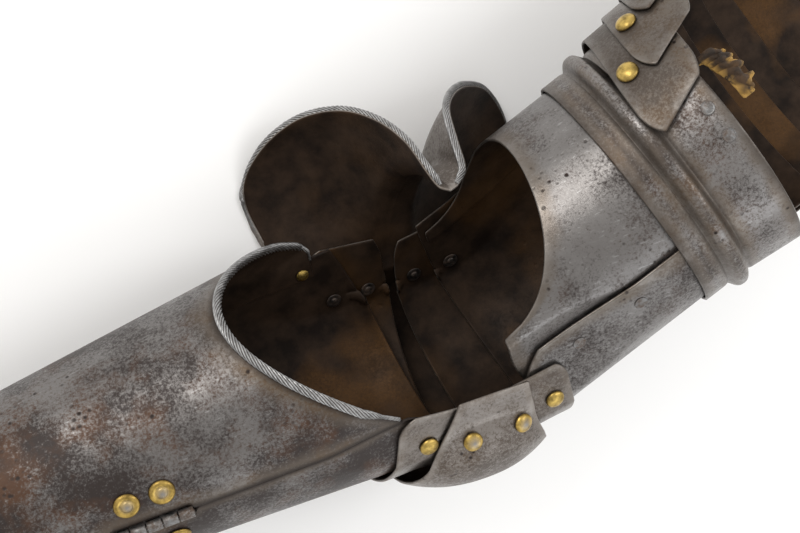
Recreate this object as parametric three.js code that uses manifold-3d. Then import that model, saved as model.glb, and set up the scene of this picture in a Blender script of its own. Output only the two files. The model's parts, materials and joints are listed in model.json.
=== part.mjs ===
// One vambrace of a pair: the arm defence from the wrist to the lower edge of the shoulder.
// Millimetres. It is built in the frame of the forearm tube: X runs along its axis towards the
// shoulder, Y to the side with the wing, Z to the crook of the elbow. At the end the whole arm is
// turned to the way it lies on a table, +Z up, with the origin under the middle of its box.
import * as THREE from 'three';
import { ConvexHull } from 'three/addons/math/ConvexHull.js';
import { mergeVertices } from 'three/addons/utils/BufferGeometryUtils.js';
import Module from 'manifold-3d';

const wasm = await Module();
wasm.setup();

// Sheet and fits
const sheet = 1.6;
const fit = 0.3;
const play = 0.8;
const slip = 0.9;
const layer = sheet + play;
const leatherThick = 1.8;

// Forearm tube
const tubeRadius = 61.4;
const foreLength = 262;
const foreTaper = 0.0908;
const hingeSeam = -91.2;
const closingSeam = 103;
const seamGap = 0.7;
const closingLap = 8;
const closingRivetAt = -13;
const wristTurn = 1;
const rimDeep = 69;
const rimTip = 8;
const rimCentre = 190;
const rimHalfAngle = 80;
const ropeRadius = 1.9;

// Elbow pivots
const pivotDepth = 17.5;
const lameSpan = 20;
const couterSpan = 26;
const flatSide = 55.8;
const foreEnd = 18.5;
const upperEnd = 13;
const lameOver = 14.5;
const lameUnder = 13;
const upperLameOver = 9;
const upperLameUnder = 12;
const lameTaper = 106;
const lameWedge = 0.25;
const upperLameWedge = 0.04;
const lowerLameEnds = [-90, 101];
const upperLameEnds = [-92, 96];
const couterNearEnd = -94;
const farBow = 112;
const foreNearBow = 88;
const upperNearBow = 96;
const elbowFlex = [-13.6, 6.4, 12, 16];

// Couter and wing
const couterBulge = 15;
const couterSwellTo = 80;
const couterHalf = 39;
const couterEdgeLift = 2.6;
const wingHalf = 68.6;
const wingHalfUpper = 77.5;
const wingRadius = 116.6;
const wingLean = 10;
const wingStart = 78;
const creaseClear = 7;

// Upper arm tube
const upperRadius = 61.6;
const upperLength = 107;
const upperSeam = -101.9;
const upperLap = 13;
const cutDeep = 55;
const cutHalfAngle = 71;
const cutCentre = 170;

// Turner collar
const collarStart = 87;
const collarEnd = 140;
const collarBeadAt = 105.5;
const collarBead = 4.6;
const collarTop = 67;
const flangeHeight = 3.4;

// Shoulder lames
const shoulderLames = 5;
const shoulderWidth = 36;
const shoulderCap = 20;
const shoulderStep = 16;
const shoulderStart = 108;
const shoulderNear = 213;
const shoulderBack = -10;
const shoulderCut = 9;
const shoulderSlant = 9;
const shoulderPitch = sheet + slip;
const shoulderFlare = 0.04;

// Rivets
const domeRadius = 4.7;
const domeHeight = 2.7;
const rosetteRadius = 6;
const rosetteHeight = 1.7;
const flushRadius = 3.6;
const flushHeight = 0.9;
const seamRivetShares = [0.235, 0.55];
const seamRivetNear = -91;
const seamRivetFar = 96;
const collarRivets = [216, 229];
const collarRivetInset = 6;
const shoulderRivetNear = 0.885;
const shoulderRivetFar = 0.07;
const shoulderRivetIn = 0.2;

// Hinge of the forearm
const hingeAt = -128;
const hingeLength = 37;
const knuckles = 5;
const knuckleRadius = 2.6;
const knuckleBore = 1.35;
const pinRadius = 1.05;
const leafThick = 1.2;
const leafWidth = 15;
const rosetteOffset = 8.1;
const rosetteDrop = 17;

const deg = Math.PI / 180;
const clamp = THREE.MathUtils.clamp;
const lerp = THREE.MathUtils.lerp;
const smooth = THREE.MathUtils.smoothstep;

// Finishes
const steel = { color: 0x7d7f82, roughness: 0.42, metalness: 0.9 };
const darkSteel = { color: 0x5d5a58, roughness: 0.5, metalness: 0.85 };
const brass = { color: 0xb08a35, roughness: 0.35, metalness: 0.9 };
const ochre = { color: 0xa9803a, roughness: 0.85, metalness: 0 };

function named(name, geometry, finish) {
  const mesh = new THREE.Mesh(geometry, new THREE.MeshStandardMaterial(finish));
  mesh.name = name;
  return mesh;
}

// A sheet of even thickness over a surface at(u, v). The outer side faces dv x du. The whole edge
// is square, or round where edge(u, v) gives a radius: half the sheet for a dressed edge, more for
// a rolled one that stands up on the outside.
function sheetOver(at, across, along, thick = sheet, edge = null) {
  const step = 1e-3;
  const us = across.map ? across : Array.from({ length: across + 1 }, (_, i) => i / across);
  const vs = along.map ? along : Array.from({ length: along + 1 }, (_, j) => j / along);
  const nu = us.length;
  const nv = vs.length;
  const vertices = [];
  const faces = [];
  const mid = [];
  const normals = [];
  for (let j = 0; j < nv; j += 1) {
    for (let i = 0; i < nu; i += 1) {
      const u = us[i];
      const v = vs[j];
      const du = at(Math.min(u + step, 1), v).sub(at(Math.max(u - step, 0), v));
      const dv = at(u, Math.min(v + step, 1)).sub(at(u, Math.max(v - step, 0)));
      mid.push(at(u, v));
      normals.push(dv.cross(du).normalize());
    }
  }
  const put = (p) => vertices.push(p.x, p.y, p.z) / 3 - 1;
  const outer = mid.map((p, k) => put(p.clone().addScaledVector(normals[k], thick / 2)));
  const inner = mid.map((p, k) => put(p.clone().addScaledVector(normals[k], -thick / 2)));
  for (let j = 0; j < nv - 1; j += 1) {
    for (let i = 0; i < nu - 1; i += 1) {
      const a = j * nu + i;
      const b = a + 1;
      const c = a + nu + 1;
      const d = a + nu;
      faces.push(outer[a], outer[d], outer[c], outer[a], outer[c], outer[b]);
      faces.push(inner[a], inner[c], inner[d], inner[a], inner[b], inner[c]);
    }
  }
  const loop = [];
  for (let j = 0; j < nv - 1; j += 1) loop.push([0, j]);
  for (let i = 0; i < nu - 1; i += 1) loop.push([i, nv - 1]);
  for (let j = nv - 1; j > 0; j -= 1) loop.push([nu - 1, j]);
  for (let i = nu - 1; i > 0; i -= 1) loop.push([i, 0]);
  const key = ([i, j]) => j * nu + i;
  const turns = edge ? [145, 80, 15, -50] : [];
  const rings = [loop.map((c) => outer[key(c)])];
  turns.forEach((turn) => {
    rings.push(loop.map((c, k) => {
      const before = mid[key(loop[(k + loop.length - 1) % loop.length])];
      const after = mid[key(loop[(k + 1) % loop.length])];
      const normal = normals[key(c)];
      const out = after.clone().sub(before).cross(normal).normalize();
      const radius = Math.max(edge(us[c[0]], vs[c[1]]), thick / 2);
      return put(mid[key(c)].clone()
        .addScaledVector(out, radius * (1 + Math.cos(turn * deg)))
        .addScaledVector(normal, radius - thick / 2 + radius * Math.sin(turn * deg)));
    }));
  });
  rings.push(loop.map((c) => inner[key(c)]));
  for (let r = 0; r < rings.length - 1; r += 1) {
    for (let k = 0; k < loop.length; k += 1) {
      const n = (k + 1) % loop.length;
      faces.push(rings[r][n], rings[r][k], rings[r + 1][k]);
      faces.push(rings[r][n], rings[r + 1][k], rings[r + 1][n]);
    }
  }
  const geometry = new THREE.BufferGeometry();
  geometry.setAttribute('position', new THREE.Float32BufferAttribute(vertices, 3));
  geometry.setIndex(faces);
  geometry.computeVertexNormals();
  return geometry;
}

// A value read from a short table of rows [share, value], eased between them
function read(rows, share, column = 1) {
  const last = rows.length - 1;
  let k = 0;
  while (k < last - 1 && share > rows[k + 1][0]) k += 1;
  const before = rows[Math.max(k - 1, 0)];
  const from = rows[k];
  const to = rows[k + 1];
  const after = rows[Math.min(k + 2, last)];
  const width = to[0] - from[0];
  const t = clamp((share - from[0]) / width, 0, 1);
  const m0 = (to[column] - before[column]) / Math.max(to[0] - before[0], 1e-6) * width;
  const m1 = (after[column] - from[column]) / Math.max(after[0] - from[0], 1e-6) * width;
  const t2 = t * t;
  const t3 = t2 * t;
  return (2 * t3 - 3 * t2 + 1) * from[column] + (t3 - 2 * t2 + t) * m0
    + (3 * t2 - 2 * t3) * to[column] + (t3 - t2) * m1;
}

// A point of a tube round X: the angle runs from the back, -Z, through +Y. The sides are flattened
// at half width flat, so that turning plates lie flat on each other there.
function onTube(x, angle, radius, flat = Infinity) {
  const y = clamp(radius * Math.sin(angle * deg), -flat, flat);
  return new THREE.Vector3(x, y, -radius * Math.cos(angle * deg));
}

// The end of a plate that turns under its neighbour: past the pivot line its back is part of a
// figure of revolution round that line, so it stays clear while it turns.
function underLap(x, angle, radius, flat, past, depth) {
  const cos = Math.cos(angle * deg);
  const drop = radius * cos - depth;
  if (past <= 0) return onTube(x, angle, radius, flat);
  const side = Math.abs(radius * Math.sin(angle * deg));
  const reach = Math.hypot(past, Math.max(drop, 0));
  const wall = Math.min(flat, Math.sqrt(Math.max(radius * radius - (depth + reach) ** 2, 0)));
  if (drop > past) {
    const z = -depth - Math.sqrt(drop * drop - past * past);
    return new THREE.Vector3(x, Math.sign(angle) * Math.min(side, flat), z);
  }
  const z = drop > 0 ? -depth - drop * (drop / past) ** 2 * 0.5 : -depth - drop;
  return new THREE.Vector3(x, Math.sign(angle) * Math.min(side, wall), z);
}

const foreRadius = (x) => tubeRadius + foreTaper * Math.min(x, 0);
const foreFlat = (x) => lerp(tubeRadius, flatSide, smooth(x, -foreLength * 0.4, -lameOver));

// The open rim at the crook: a cosine in the angle from its deepest place
function foreRim(angle) {
  const from = Math.min(Math.abs(angle - rimCentre) / rimHalfAngle, 1);
  return -rimDeep + (rimDeep - rimTip) * (1 - Math.cos(from * 90 * deg));
}

// The forearm's front plate, from the hinge seam over the crook side to the closing seam, where it
// slips inside the back plate.
function foreFront() {
  const from = closingSeam - closingLap;
  const to = 360 + hingeSeam;
  const lapShare = closingLap / (to - from);
  const at = (u, v) => {
    const angle = lerp(from, to, v);
    const end = foreRim(angle);
    const x = lerp(-foreLength, end, u);
    const lap = -(sheet + slip) * (1 - smooth(angle, closingSeam, closingSeam + 24));
    const flare = wristTurn * (1 - smooth(x, -foreLength, -foreLength + 14)) ** 2;
    const seat = foreRadius(x) + lap + flare;
    const seam = (seamGap + sheet) / seat / deg * Math.max(0, 1 - (1 - v) * 12);
    return onTube(x, angle - seam, seat, foreFlat(x) + lap);
  };
  const rope = (u, v) => {
    const along = u < 1 ? 0 : 1;
    return along * ropeRadius * smooth(1 - v, 0, 0.09) * smooth(v, lapShare * 1.2, lapShare * 2.5);
  };
  const stations = [0, 0.03, 0.07, 0.3, 0.55, 0.76, 0.9, 1];
  return sheetOver(at, stations, 22, sheet, rope);
}

// How much of a back plate's reach past its pivots is left at an angle: it falls slowly towards the
// far seam, and quickly towards the near one, where a lame covers the plate's corner
const endBow = (angle, nearBow) => (angle < 0
  ? 1 - (-angle / nearBow) ** 8
  : 1 - (angle / farBow) ** 2.6);

// The forearm's back plate, from the hinge seam round the outside to the closing seam
function foreBack() {
  const at = (u, v) => {
    const angle = lerp(hingeSeam, closingSeam, v);
    const end = foreEnd * endBow(angle, foreNearBow);
    const x = lerp(-foreLength, end, u);
    const flare = wristTurn * (1 - smooth(x, -foreLength, -foreLength + 14)) ** 2;
    return underLap(x, angle, foreRadius(x) + flare, foreFlat(x), x, pivotDepth);
  };
  const stations = [0, 0.03, 0.07, 0.35, 0.65, 0.82, 0.915, 0.955, 1];
  return sheetOver(at, stations, 20);
}

// Round the corner of a plate's end: how much of its width is left a share in from the end
const corner = (share, size) => (share >= size ? 1 : Math.sqrt(1 - (1 - share / size) ** 2 * 0.75));

// A lame of the elbow. It laps over the tube on one side, where its back is wedged outwards, and
// turns under the couter on the other.
function elbowLame(over, under, [near, far], wedge, mirrored) {
  const radius = tubeRadius + layer;
  const flat = flatSide + layer;
  const at = (u, v) => {
    const angle = lerp(near, far, v);
    const round = corner(Math.min(v, 1 - v) * Math.abs(far - near) / 100, 0.09);
    const low = -over * round;
    const high = lameSpan + under * round * Math.max(1 - (Math.abs(angle) / lameTaper) ** 4, 0);
    const s = lerp(low, high, u);
    const p = underLap(s, angle, radius, flat, s - lameSpan, pivotDepth);
    p.z += Math.min(s, 0) * wedge * Math.max(Math.cos(angle * deg), 0);
    return mirrored ? new THREE.Vector3(lameSpan - s, p.y, p.z) : p;
  };
  const outwards = (u, v) => (mirrored ? at(1 - u, v) : at(u, v));
  return sheetOver(outwards, [0, 0.14, 0.28, 0.5, 0.64, 0.76, 0.88, 1], 19);
}

// Couter: how far each side edge stands from its middle, by angle round the arm, as shares of the
// half width. Columns: angle, lower side, upper side.
const couterEdges = [
  [-94, 0.44, 0.44],
  [-84, 0.56, 0.5],
  [-73, 0.72, 0.56],
  [-58, 0.88, 0.72],
  [-38, 0.98, 0.92],
  [0, 1, 1],
  [50, 1, 1],
  [78, 0.98, 0.98],
];

// Wing rim from the notch to the foot of a lobe. Columns: share of the way, angle, then distance
// from the middle as a share of the lobe's reach and radius as a share of wingRadius, first for
// the lower lobe and then for the upper one.
const wingRim = [
  [0, 168, 0, 0.579, 0, 0.579],
  [0.08, 167, 0.085, 0.607, 0.055, 0.591],
  [0.18, 163, 0.16, 0.682, 0.134, 0.628],
  [0.3, 154, 0.213, 0.78, 0.165, 0.72],
  [0.42, 145, 0.309, 0.875, 0.22, 0.825],
  [0.54, 136, 0.468, 0.961, 0.362, 0.892],
  [0.66, 127, 0.692, 1, 0.575, 0.939],
  [0.78, 118, 0.915, 0.961, 0.818, 0.938],
  [0.9, 106, 1, 0.885, 1, 0.849],
  [1, 95, 0.894, 0.749, 0.955, 0.738],
];

// Couter and wing, one plate: a cap over the elbow whose far side runs on as the bilobed wing,
// pinched at the middle by a deep crease that ends in the notch. v runs from the near tab round
// the elbow to the rim.
const couterRows = 0.56;
function couterPoint(u, v) {
  const middle = couterSpan / 2;
  const across = u * 2 - 1;
  const radius = tubeRadius + 2 * layer;
  const flat = flatSide + 2 * layer;
  const side = (angle) => {
    const share = read(couterEdges, angle, across < 0 ? 1 : 2);
    return middle + across * couterHalf * share;
  };
  if (v <= couterRows) {
    const angle = lerp(couterNearEnd, wingStart, v / couterRows);
    const swell = Math.max(Math.cos(angle / couterSwellTo * 90 * deg), 0) ** 0.6;
    const dome = couterBulge * swell * (1 - Math.abs(across) ** 2.2);
    const lift = couterEdgeLift * Math.min(swell * 1.6, 1) * across * across;
    return onTube(side(angle), angle, radius + dome + lift, flat + dome);
  }
  const t = (v - couterRows) / (1 - couterRows);
  const part = Math.abs(across);
  const lobe = across < 0 ? 2 : 4;
  const reach = read(wingRim, part, lobe) * (across < 0 ? -wingHalf : wingHalfUpper);
  const rimAngle = read(wingRim, part, 1);
  const rimRadius = read(wingRim, part, lobe + 1) * wingRadius;
  const angle = lerp(wingStart, rimAngle, t);
  const opened = Math.min(flat / Math.sin(wingStart * deg), radius);
  const rise = t * t * (3 - 2 * t) * 0.45 + t * 0.55;
  const clear = creaseClear * Math.sin(t * 180 * deg) * (1 - smooth(part, 0, 0.35));
  const p = onTube(0, angle, lerp(opened, rimRadius, rise) + clear);
  const spread = 1 - (1 - t) ** 1.6;
  p.x = lerp(side(wingStart), middle + reach, spread);
  p.x += Math.tan(wingLean * deg) * Math.max(p.z + pivotDepth, 0);
  return p;
}

function couter() {
  const columns = [-1, -0.9, -0.78, -0.65, -0.52, -0.39, -0.27, -0.16, -0.07, 0]
    .map((a) => (a + 1) / 2);
  const across = columns.concat(columns.slice(0, -1).reverse().map((a) => 1 - a));
  const rows = Array.from({ length: 14 }, (_, j) => j / 13 * couterRows);
  const wing = [0.14, 0.3, 0.48, 0.66, 0.83, 1].map((t) => lerp(couterRows, 1, t));
  const rope = (u, v) => ropeRadius * smooth(v, couterRows + 0.06, couterRows + 0.2);
  return sheetOver(couterPoint, across, rows.concat(wing), sheet, rope);
}

// The cut-out at the crook in the upper tube: a half ellipse in the angle
function upperCut(angle) {
  const from = Math.abs(angle - cutCentre) / cutHalfAngle;
  const bow = from < 1 ? Math.sqrt(1 - from * from) : 0;
  return cutDeep * bow - 5 * smooth(from, 0.9, 1.3);
}

const upperFlat = (x) => lerp(flatSide, upperRadius, smooth(x, upperLameOver, upperLength * 0.8));

// Its top edge is turned out all round and runs in the hollow bead of the collar
function upperProfile(s) {
  const end = upperLength - 3.5;
  const turn = clamp((s - 0.93) / 0.07, 0, 1) * 90 * deg;
  return {
    x: (from, lap) => lerp(from, end, Math.min(s / 0.93, 1)) + (2.2 - lap) * Math.sin(turn),
    lift: flangeHeight * (1 - Math.cos(turn)),
  };
}

const upperStations = [0, 0.14, 0.28, 0.45, 0.68, 0.93, 0.965, 1];

function upperFront() {
  const from = -upperSeam - 8;
  const to = 360 + upperSeam + upperLap;
  const at = (u, v) => {
    const angle = lerp(from, to, v);
    const shape = upperProfile(u);
    const near = Math.min(angle - from, to - angle);
    const lap = -(sheet + slip) * (1 - smooth(near, upperLap, upperLap + 22));
    const x = shape.x(upperCut(angle), lap);
    return onTube(x, angle, upperRadius + lap + shape.lift, upperFlat(x) + lap);
  };
  return sheetOver(at, upperStations, 20);
}

function upperBack() {
  const from = upperSeam;
  const to = -upperSeam + 2;
  const at = (u, v) => {
    const angle = lerp(from, to, v);
    const shape = upperProfile(u);
    const x = shape.x(-upperEnd * endBow(angle, upperNearBow), 0);
    const p = underLap(-x, angle, upperRadius + shape.lift, upperFlat(x), -x, pivotDepth);
    return new THREE.Vector3(x, p.y, p.z);
  };
  return sheetOver(at, upperStations, 18);
}

const collarLow = upperRadius + layer;

// Turner collar: a spun ring with a hollow bead, inside which the turned edge of the tube runs
function collar() {
  const profile = [
    [collarStart, collarLow, 0],
    [collarBeadAt - collarBead * 1.5, collarLow, 0],
    [collarBeadAt - collarBead * 0.95, collarLow + 1.6, -0.7],
    [collarBeadAt - collarBead * 0.4, collarLow + collarBead * 0.95, -0.3],
    [collarBeadAt + collarBead * 0.4, collarLow + collarBead * 0.95, 0.3],
    [collarBeadAt + collarBead * 0.95, collarLow + 1.6, 0.7],
    [collarBeadAt + collarBead * 1.5, collarLow + 0.4, 0.2],
    [collarEnd, collarTop, 0],
  ];
  const half = sheet / 2;
  const outside = profile.map(([x, r, lean]) => new THREE.Vector2(r + half, x + lean * half));
  const inside = profile.map(([x, r, lean]) => new THREE.Vector2(r - half, x - lean * half)).reverse();
  const shape = outside.concat(inside);
  shape.push(shape[0].clone());
  const ring = new THREE.LatheGeometry(shape, 40);
  ring.rotateX(90 * deg);
  ring.rotateY(90 * deg);
  return ring;
}

// A lame of the shoulder: open on the armpit side, its near end cut on the slant. The last one is
// wider and caps the shoulder.
function shoulderPoint(k, u, v) {
  const radius = collarLow + collarBead + sheet / 2 + fit + k * shoulderPitch;
  const start = shoulderStart + k * shoulderStep;
  const cut = shoulderNear - k * 22 - shoulderCut * u;
  const angle = lerp(shoulderBack, cut, v);
  const width = shoulderWidth + (k === shoulderLames - 1 ? shoulderCap : 0);
  const round = corner(Math.min(v, 1 - v) * 2, 0.1);
  const slant = shoulderSlant * smooth(cut - angle, 0, 80);
  const x = start + slant + lerp((1 - round) * 10, width - (1 - round) * 8, u);
  return onTube(x, angle, radius + (x - shoulderStart) * shoulderFlare);
}

const shoulderLame = (k) => sheetOver((u, v) => shoulderPoint(k, u, v), 3, 16);

// The torn leather that hung the shoulder lames. It starts inside the collar and folds out past
// its edge. Columns: share of its length, place past the edge, share of its turn, depth inside.
const leatherFold = [
  [0, -4, 0, 2.05],
  [0.25, 5.8, 0.1, 3.2],
  [0.5, 8.2, 0.3, 3.6],
  [0.75, 9.8, 0.62, 2.4],
  [1, 10.6, 1, 3.6],
];
const leatherWide = 16;
const leatherTurn = 24;
const leatherWave = 0.9;

function hangingLeather() {
  const at = (u, v) => {
    const free = smooth(v, 0, 0.2);
    const x = collarEnd + read(leatherFold, v, 1) + leatherWide * u * (1 - 0.35 * v);
    const angle = shoulderNear - leatherWide + leatherTurn * read(leatherFold, v, 2);
    const wave = leatherWave * Math.sin(v * 540 * deg + u * 2) + 1.5 * u;
    return onTube(x, angle, collarTop - read(leatherFold, v, 3) + wave * free);
  };
  return sheetOver(at, 3, 12, leatherThick);
}

// A rivet head or washer turned on its axis, standing on +Z
function turned(profile, sides) {
  const points = profile.map(([r, h]) => new THREE.Vector2(r, h));
  const body = new THREE.LatheGeometry(points, sides);
  body.rotateX(90 * deg);
  return body;
}

function domeHead(radius = domeRadius, height = domeHeight) {
  const arc = [0, 45].map((a) => [radius * Math.cos(a * deg), height * (0.18 + 0.82 * Math.sin(a * deg))]);
  return turned([[0, 0], [radius * 0.94, 0], ...arc, [0, height]], 8);
}

function rosette() {
  const r = rosetteRadius;
  const h = rosetteHeight;
  return turned([[0, 0], [r, 0], [r, h * 0.3], [r * 0.8, h * 0.8], [r * 0.55, h * 0.75],
    [r * 0.4, h * 1.15], [0, h * 1.3]], 10);
}

const flushHead = () => turned([[0, 0], [flushRadius, 0], [flushRadius * 0.8, flushHeight], [0, flushHeight]], 8);

// Stand a piece on a surface point, +Z along the outward direction, at a small lift
function standOn(mesh, point, outward, lift) {
  mesh.quaternion.setFromUnitVectors(new THREE.Vector3(0, 0, 1), outward);
  mesh.position.copy(point).addScaledVector(outward, lift);
  return mesh;
}

// Outward direction of a surface at u, v
function facing(at, u, v) {
  const e = 0.01;
  const du = at(u + e, v).sub(at(u - e, v));
  return at(u, v + e).sub(at(u, v - e)).cross(du).normalize();
}

// A seat on a tube whose radius and half width are given by place
function tubeSeat(x, angle, radiusAt, flatAt = () => Infinity) {
  const at = (u, v) => onTube(x + u, angle + v, radiusAt(x + u), flatAt(x + u));
  return { point: at(0, 0), outward: facing(at, 0, 0) };
}

// The seat on the couter's plate over a pivot, on the near or the far side
function couterSeat(x, side) {
  let best = null;
  for (let j = 0; j <= 60; j += 1) {
    const v = side < 0 ? j / 60 * 0.2 : couterRows - j / 60 * 0.2;
    for (let i = 0; i <= 80; i += 1) {
      const u = i / 80;
      const p = couterPoint(u, v);
      const miss = Math.hypot(p.x - x, p.z + pivotDepth);
      if (!best || miss < best.miss) best = { miss, u, v, point: p };
    }
  }
  return { point: best.point, outward: facing(couterPoint, best.u, best.v) };
}

// Solids joined or cut
function solid(geometry) {
  const bare = geometry.clone();
  bare.deleteAttribute('normal');
  bare.deleteAttribute('uv');
  const merged = mergeVertices(bare, 1e-4);
  return new wasm.Manifold(new wasm.Mesh({
    numProp: 3,
    vertProperties: new Float32Array(merged.attributes.position.array),
    triVerts: new Uint32Array(merged.index.array),
  }));
}

function fromSolid(body) {
  const mesh = body.getMesh();
  const geometry = new THREE.BufferGeometry();
  geometry.setAttribute('position', new THREE.BufferAttribute(new Float32Array(mesh.vertProperties), 3));
  geometry.setIndex(new THREE.BufferAttribute(new Uint32Array(mesh.triVerts), 1));
  geometry.computeVertexNormals();
  return geometry;
}

// The forearm's hinge stands in the near seam, its leaves inside the plates. Its own frame has X
// along the pin, Y across the seam to the front plate and Z outwards.
const hingeRadius = foreRadius(hingeAt);
const hingeLine = tubeSeat(hingeAt, hingeSeam, foreRadius);
const pinHeight = knuckleRadius - 0.6;
const hingeRadial = onTube(0, hingeSeam, 1);
const hingeAlong = new THREE.Vector3(1, 0, 0).addScaledVector(hingeRadial, foreTaper).normalize();
const hingeOut = hingeRadial.clone().addScaledVector(hingeAlong, -hingeRadial.dot(hingeAlong)).normalize();
const hingeCross = hingeOut.clone().cross(hingeAlong);
const hingeCentre = hingeLine.point.clone().addScaledVector(hingeOut, pinHeight);
const hingeFrame = new THREE.Matrix4().makeBasis(hingeAlong, hingeCross, hingeOut).setPosition(hingeCentre);

function hingeCylinder(radius, length, at = 0, sides = 10) {
  const body = new THREE.CylinderGeometry(radius, radius, length, sides);
  body.rotateZ(-90 * deg);
  body.translate(at, 0, 0);
  return body.applyMatrix4(hingeFrame);
}

// A leaf with its share of the knuckles: side 1 is the front plate's, -1 the back plate's
function hingeLeaf(side) {
  const leafDepth = sheet / 2 + fit * 2 + leafThick / 2;
  const at = (u, v) => {
    const x = hingeAt + (u - 0.5) * hingeLength;
    const reach = lerp(seamGap / 2, leafWidth, side < 0 ? v : 1 - v);
    return onTube(x, hingeSeam - side * reach / hingeRadius / deg, foreRadius(x) - leafDepth);
  };
  const pitch = hingeLength / knuckles;
  let leaf = solid(sheetOver(at, 1, 3, leafThick));
  for (let k = side > 0 ? 1 : 0; k < knuckles; k += 2) {
    const centre = (k + 0.5) * pitch - hingeLength / 2;
    const web = new THREE.BoxGeometry(pitch - fit * 2, 1.6, pinHeight + leafDepth);
    web.translate(centre, side * (seamGap / 2 + 0.8), -(pinHeight + leafDepth) / 2);
    leaf = leaf.add(solid(web.applyMatrix4(hingeFrame)));
    leaf = leaf.add(solid(hingeCylinder(knuckleRadius, pitch - fit * 2, centre)));
  }
  return fromSolid(leaf.subtract(solid(hingeCylinder(knuckleBore, hingeLength + 2))));
}

// A plate of the forearm with the notch in its edge where the hinge's knuckles stand
function notched(geometry) {
  const width = 2 * (knuckleRadius + fit);
  const way = new THREE.BoxGeometry(hingeLength + 2 * fit, width, 2 * width).applyMatrix4(hingeFrame);
  return fromSolid(solid(geometry).subtract(solid(way)));
}

// A frame turned about a pivot line along Y. at is the pivot in the parent's frame and home is the
// same pivot in its own.
function flexed(parent, at, turn, home) {
  const pivot = new THREE.Group();
  pivot.position.copy(at);
  pivot.rotation.y = -turn * deg;
  const inner = new THREE.Group();
  inner.position.copy(home).negate();
  pivot.add(inner);
  parent.add(pivot);
  return inner;
}

const pivotAt = (x) => new THREE.Vector3(x, 0, -pivotDepth);

const fore = new THREE.Group();
const lameLower = flexed(fore, pivotAt(0), elbowFlex[0], pivotAt(0));
const couterFrame = flexed(lameLower, pivotAt(lameSpan), elbowFlex[1], pivotAt(0));
const lameUpper = flexed(couterFrame, pivotAt(couterSpan), elbowFlex[2], pivotAt(0));
const upper = flexed(lameUpper, pivotAt(lameSpan), elbowFlex[3], pivotAt(0));

fore.add(named('fore_back_plate', notched(foreBack()), steel));
fore.add(named('fore_front_plate', notched(foreFront()), steel));
fore.add(named('hinge_leaf_back', hingeLeaf(-1), darkSteel));
fore.add(named('hinge_leaf_front', hingeLeaf(1), darkSteel));
fore.add(named('hinge_pin', hingeCylinder(pinRadius, hingeLength, 0, 8), darkSteel));
lameLower.add(named('elbow_lame_lower', elbowLame(lameOver, lameUnder, lowerLameEnds, lameWedge, false), steel));
couterFrame.add(named('couter_with_wing', couter(), steel));
lameUpper.add(named('elbow_lame_upper',
  elbowLame(upperLameOver, upperLameUnder, upperLameEnds, upperLameWedge, true), steel));
upper.add(named('upper_back_plate', upperBack(), steel));
upper.add(named('upper_front_plate', upperFront(), steel));
upper.add(named('turner_collar', collar(), steel));
for (let k = 0; k < shoulderLames; k += 1) {
  upper.add(named(`shoulder_lame_${k + 1}`, shoulderLame(k), steel));
}
upper.add(named('hanging_leather', hangingLeather(), ochre));

// Rivets
for (const across of [-1, 1]) {
  for (const [side, drop] of [['front', -rosetteDrop], ['back', rosetteDrop]]) {
    const x = hingeAt + across * rosetteOffset;
    const seat = tubeSeat(x, hingeSeam + drop, foreRadius);
    const name = `hinge_rosette_${side}_${across < 0 ? 1 : 2}`;
    fore.add(standOn(named(name, rosette(), brass), seat.point, seat.outward, sheet / 2 + fit));
  }
}

const pivots = [
  ['1', lameLower, 0, fore, 0],
  ['2', couterFrame, 0, lameLower, lameSpan],
  ['3', couterFrame, couterSpan, lameUpper, 0],
  ['4', lameUpper, lameSpan, upper, 0],
];
for (const side of [-1, 1]) {
  const word = side < 0 ? 'near' : 'far';
  const out = new THREE.Vector3(0, side, 0);
  for (const [k, outerFrame, outerX, innerFrame, innerX] of pivots) {
    const outerFlat = flatSide + layer;
    const innerFlat = flatSide + (innerFrame === lameLower || innerFrame === lameUpper ? layer : 0);
    if (side < 0 || outerFrame === couterFrame) {
      const seat = { point: pivotAt(outerX).setY(side * outerFlat), outward: out };
      const { point, outward } = outerFrame === couterFrame ? couterSeat(outerX, side) : seat;
      const head = named(`pivot_rivet_${word}_${k}`, domeHead(), brass);
      outerFrame.add(standOn(head, point, outward, sheet / 2 + fit * 1.5));
    }
    const end = pivotAt(innerX);
    end.y = side * innerFlat;
    const inward = out.clone().negate();
    const burr = named(`pivot_end_${word}_${k}`, flushHead(), darkSteel);
    const onLame = innerFlat > flatSide;
    innerFrame.add(standOn(burr, end, inward, sheet / 2 + fit * (onLame ? 2 : 3.5)));
  }
}

for (const [k, share] of seamRivetShares.entries()) {
  for (const [word, angle] of [['near', seamRivetNear], ['far', seamRivetFar]]) {
    const seat = tubeSeat(share * upperLength, angle, () => upperRadius, upperFlat);
    const name = `seam_rivet_${word}_${k + 1}`;
    const head = named(name, flushHead(), darkSteel);
    upper.add(standOn(head, seat.point, seat.outward, sheet / 2 + fit * 2));
  }
}
for (const [k, angle] of collarRivets.entries()) {
  const seat = tubeSeat(collarEnd - collarRivetInset, angle, () => collarTop);
  const head = named(`collar_rivet_${k + 1}`, flushHead(), darkSteel);
  upper.add(standOn(head, seat.point, seat.outward, sheet / 2 + fit));
}

// The brass rivets at the near ends of the shoulder lames and plain ones where the lames are held
// together at the back
for (let k = 0; k < shoulderLames; k += 1) {
  for (const [word, v, finish] of [['front', shoulderRivetNear, brass], ['back', shoulderRivetFar, darkSteel]]) {
    const at = (u, w) => shoulderPoint(k, u, w);
    const head = named(`shoulder_rivet_${word}_${k + 1}`, domeHead(), finish);
    upper.add(standOn(head, at(shoulderRivetIn, v), facing(at, shoulderRivetIn, v), sheet / 2 + fit));
  }
}

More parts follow.
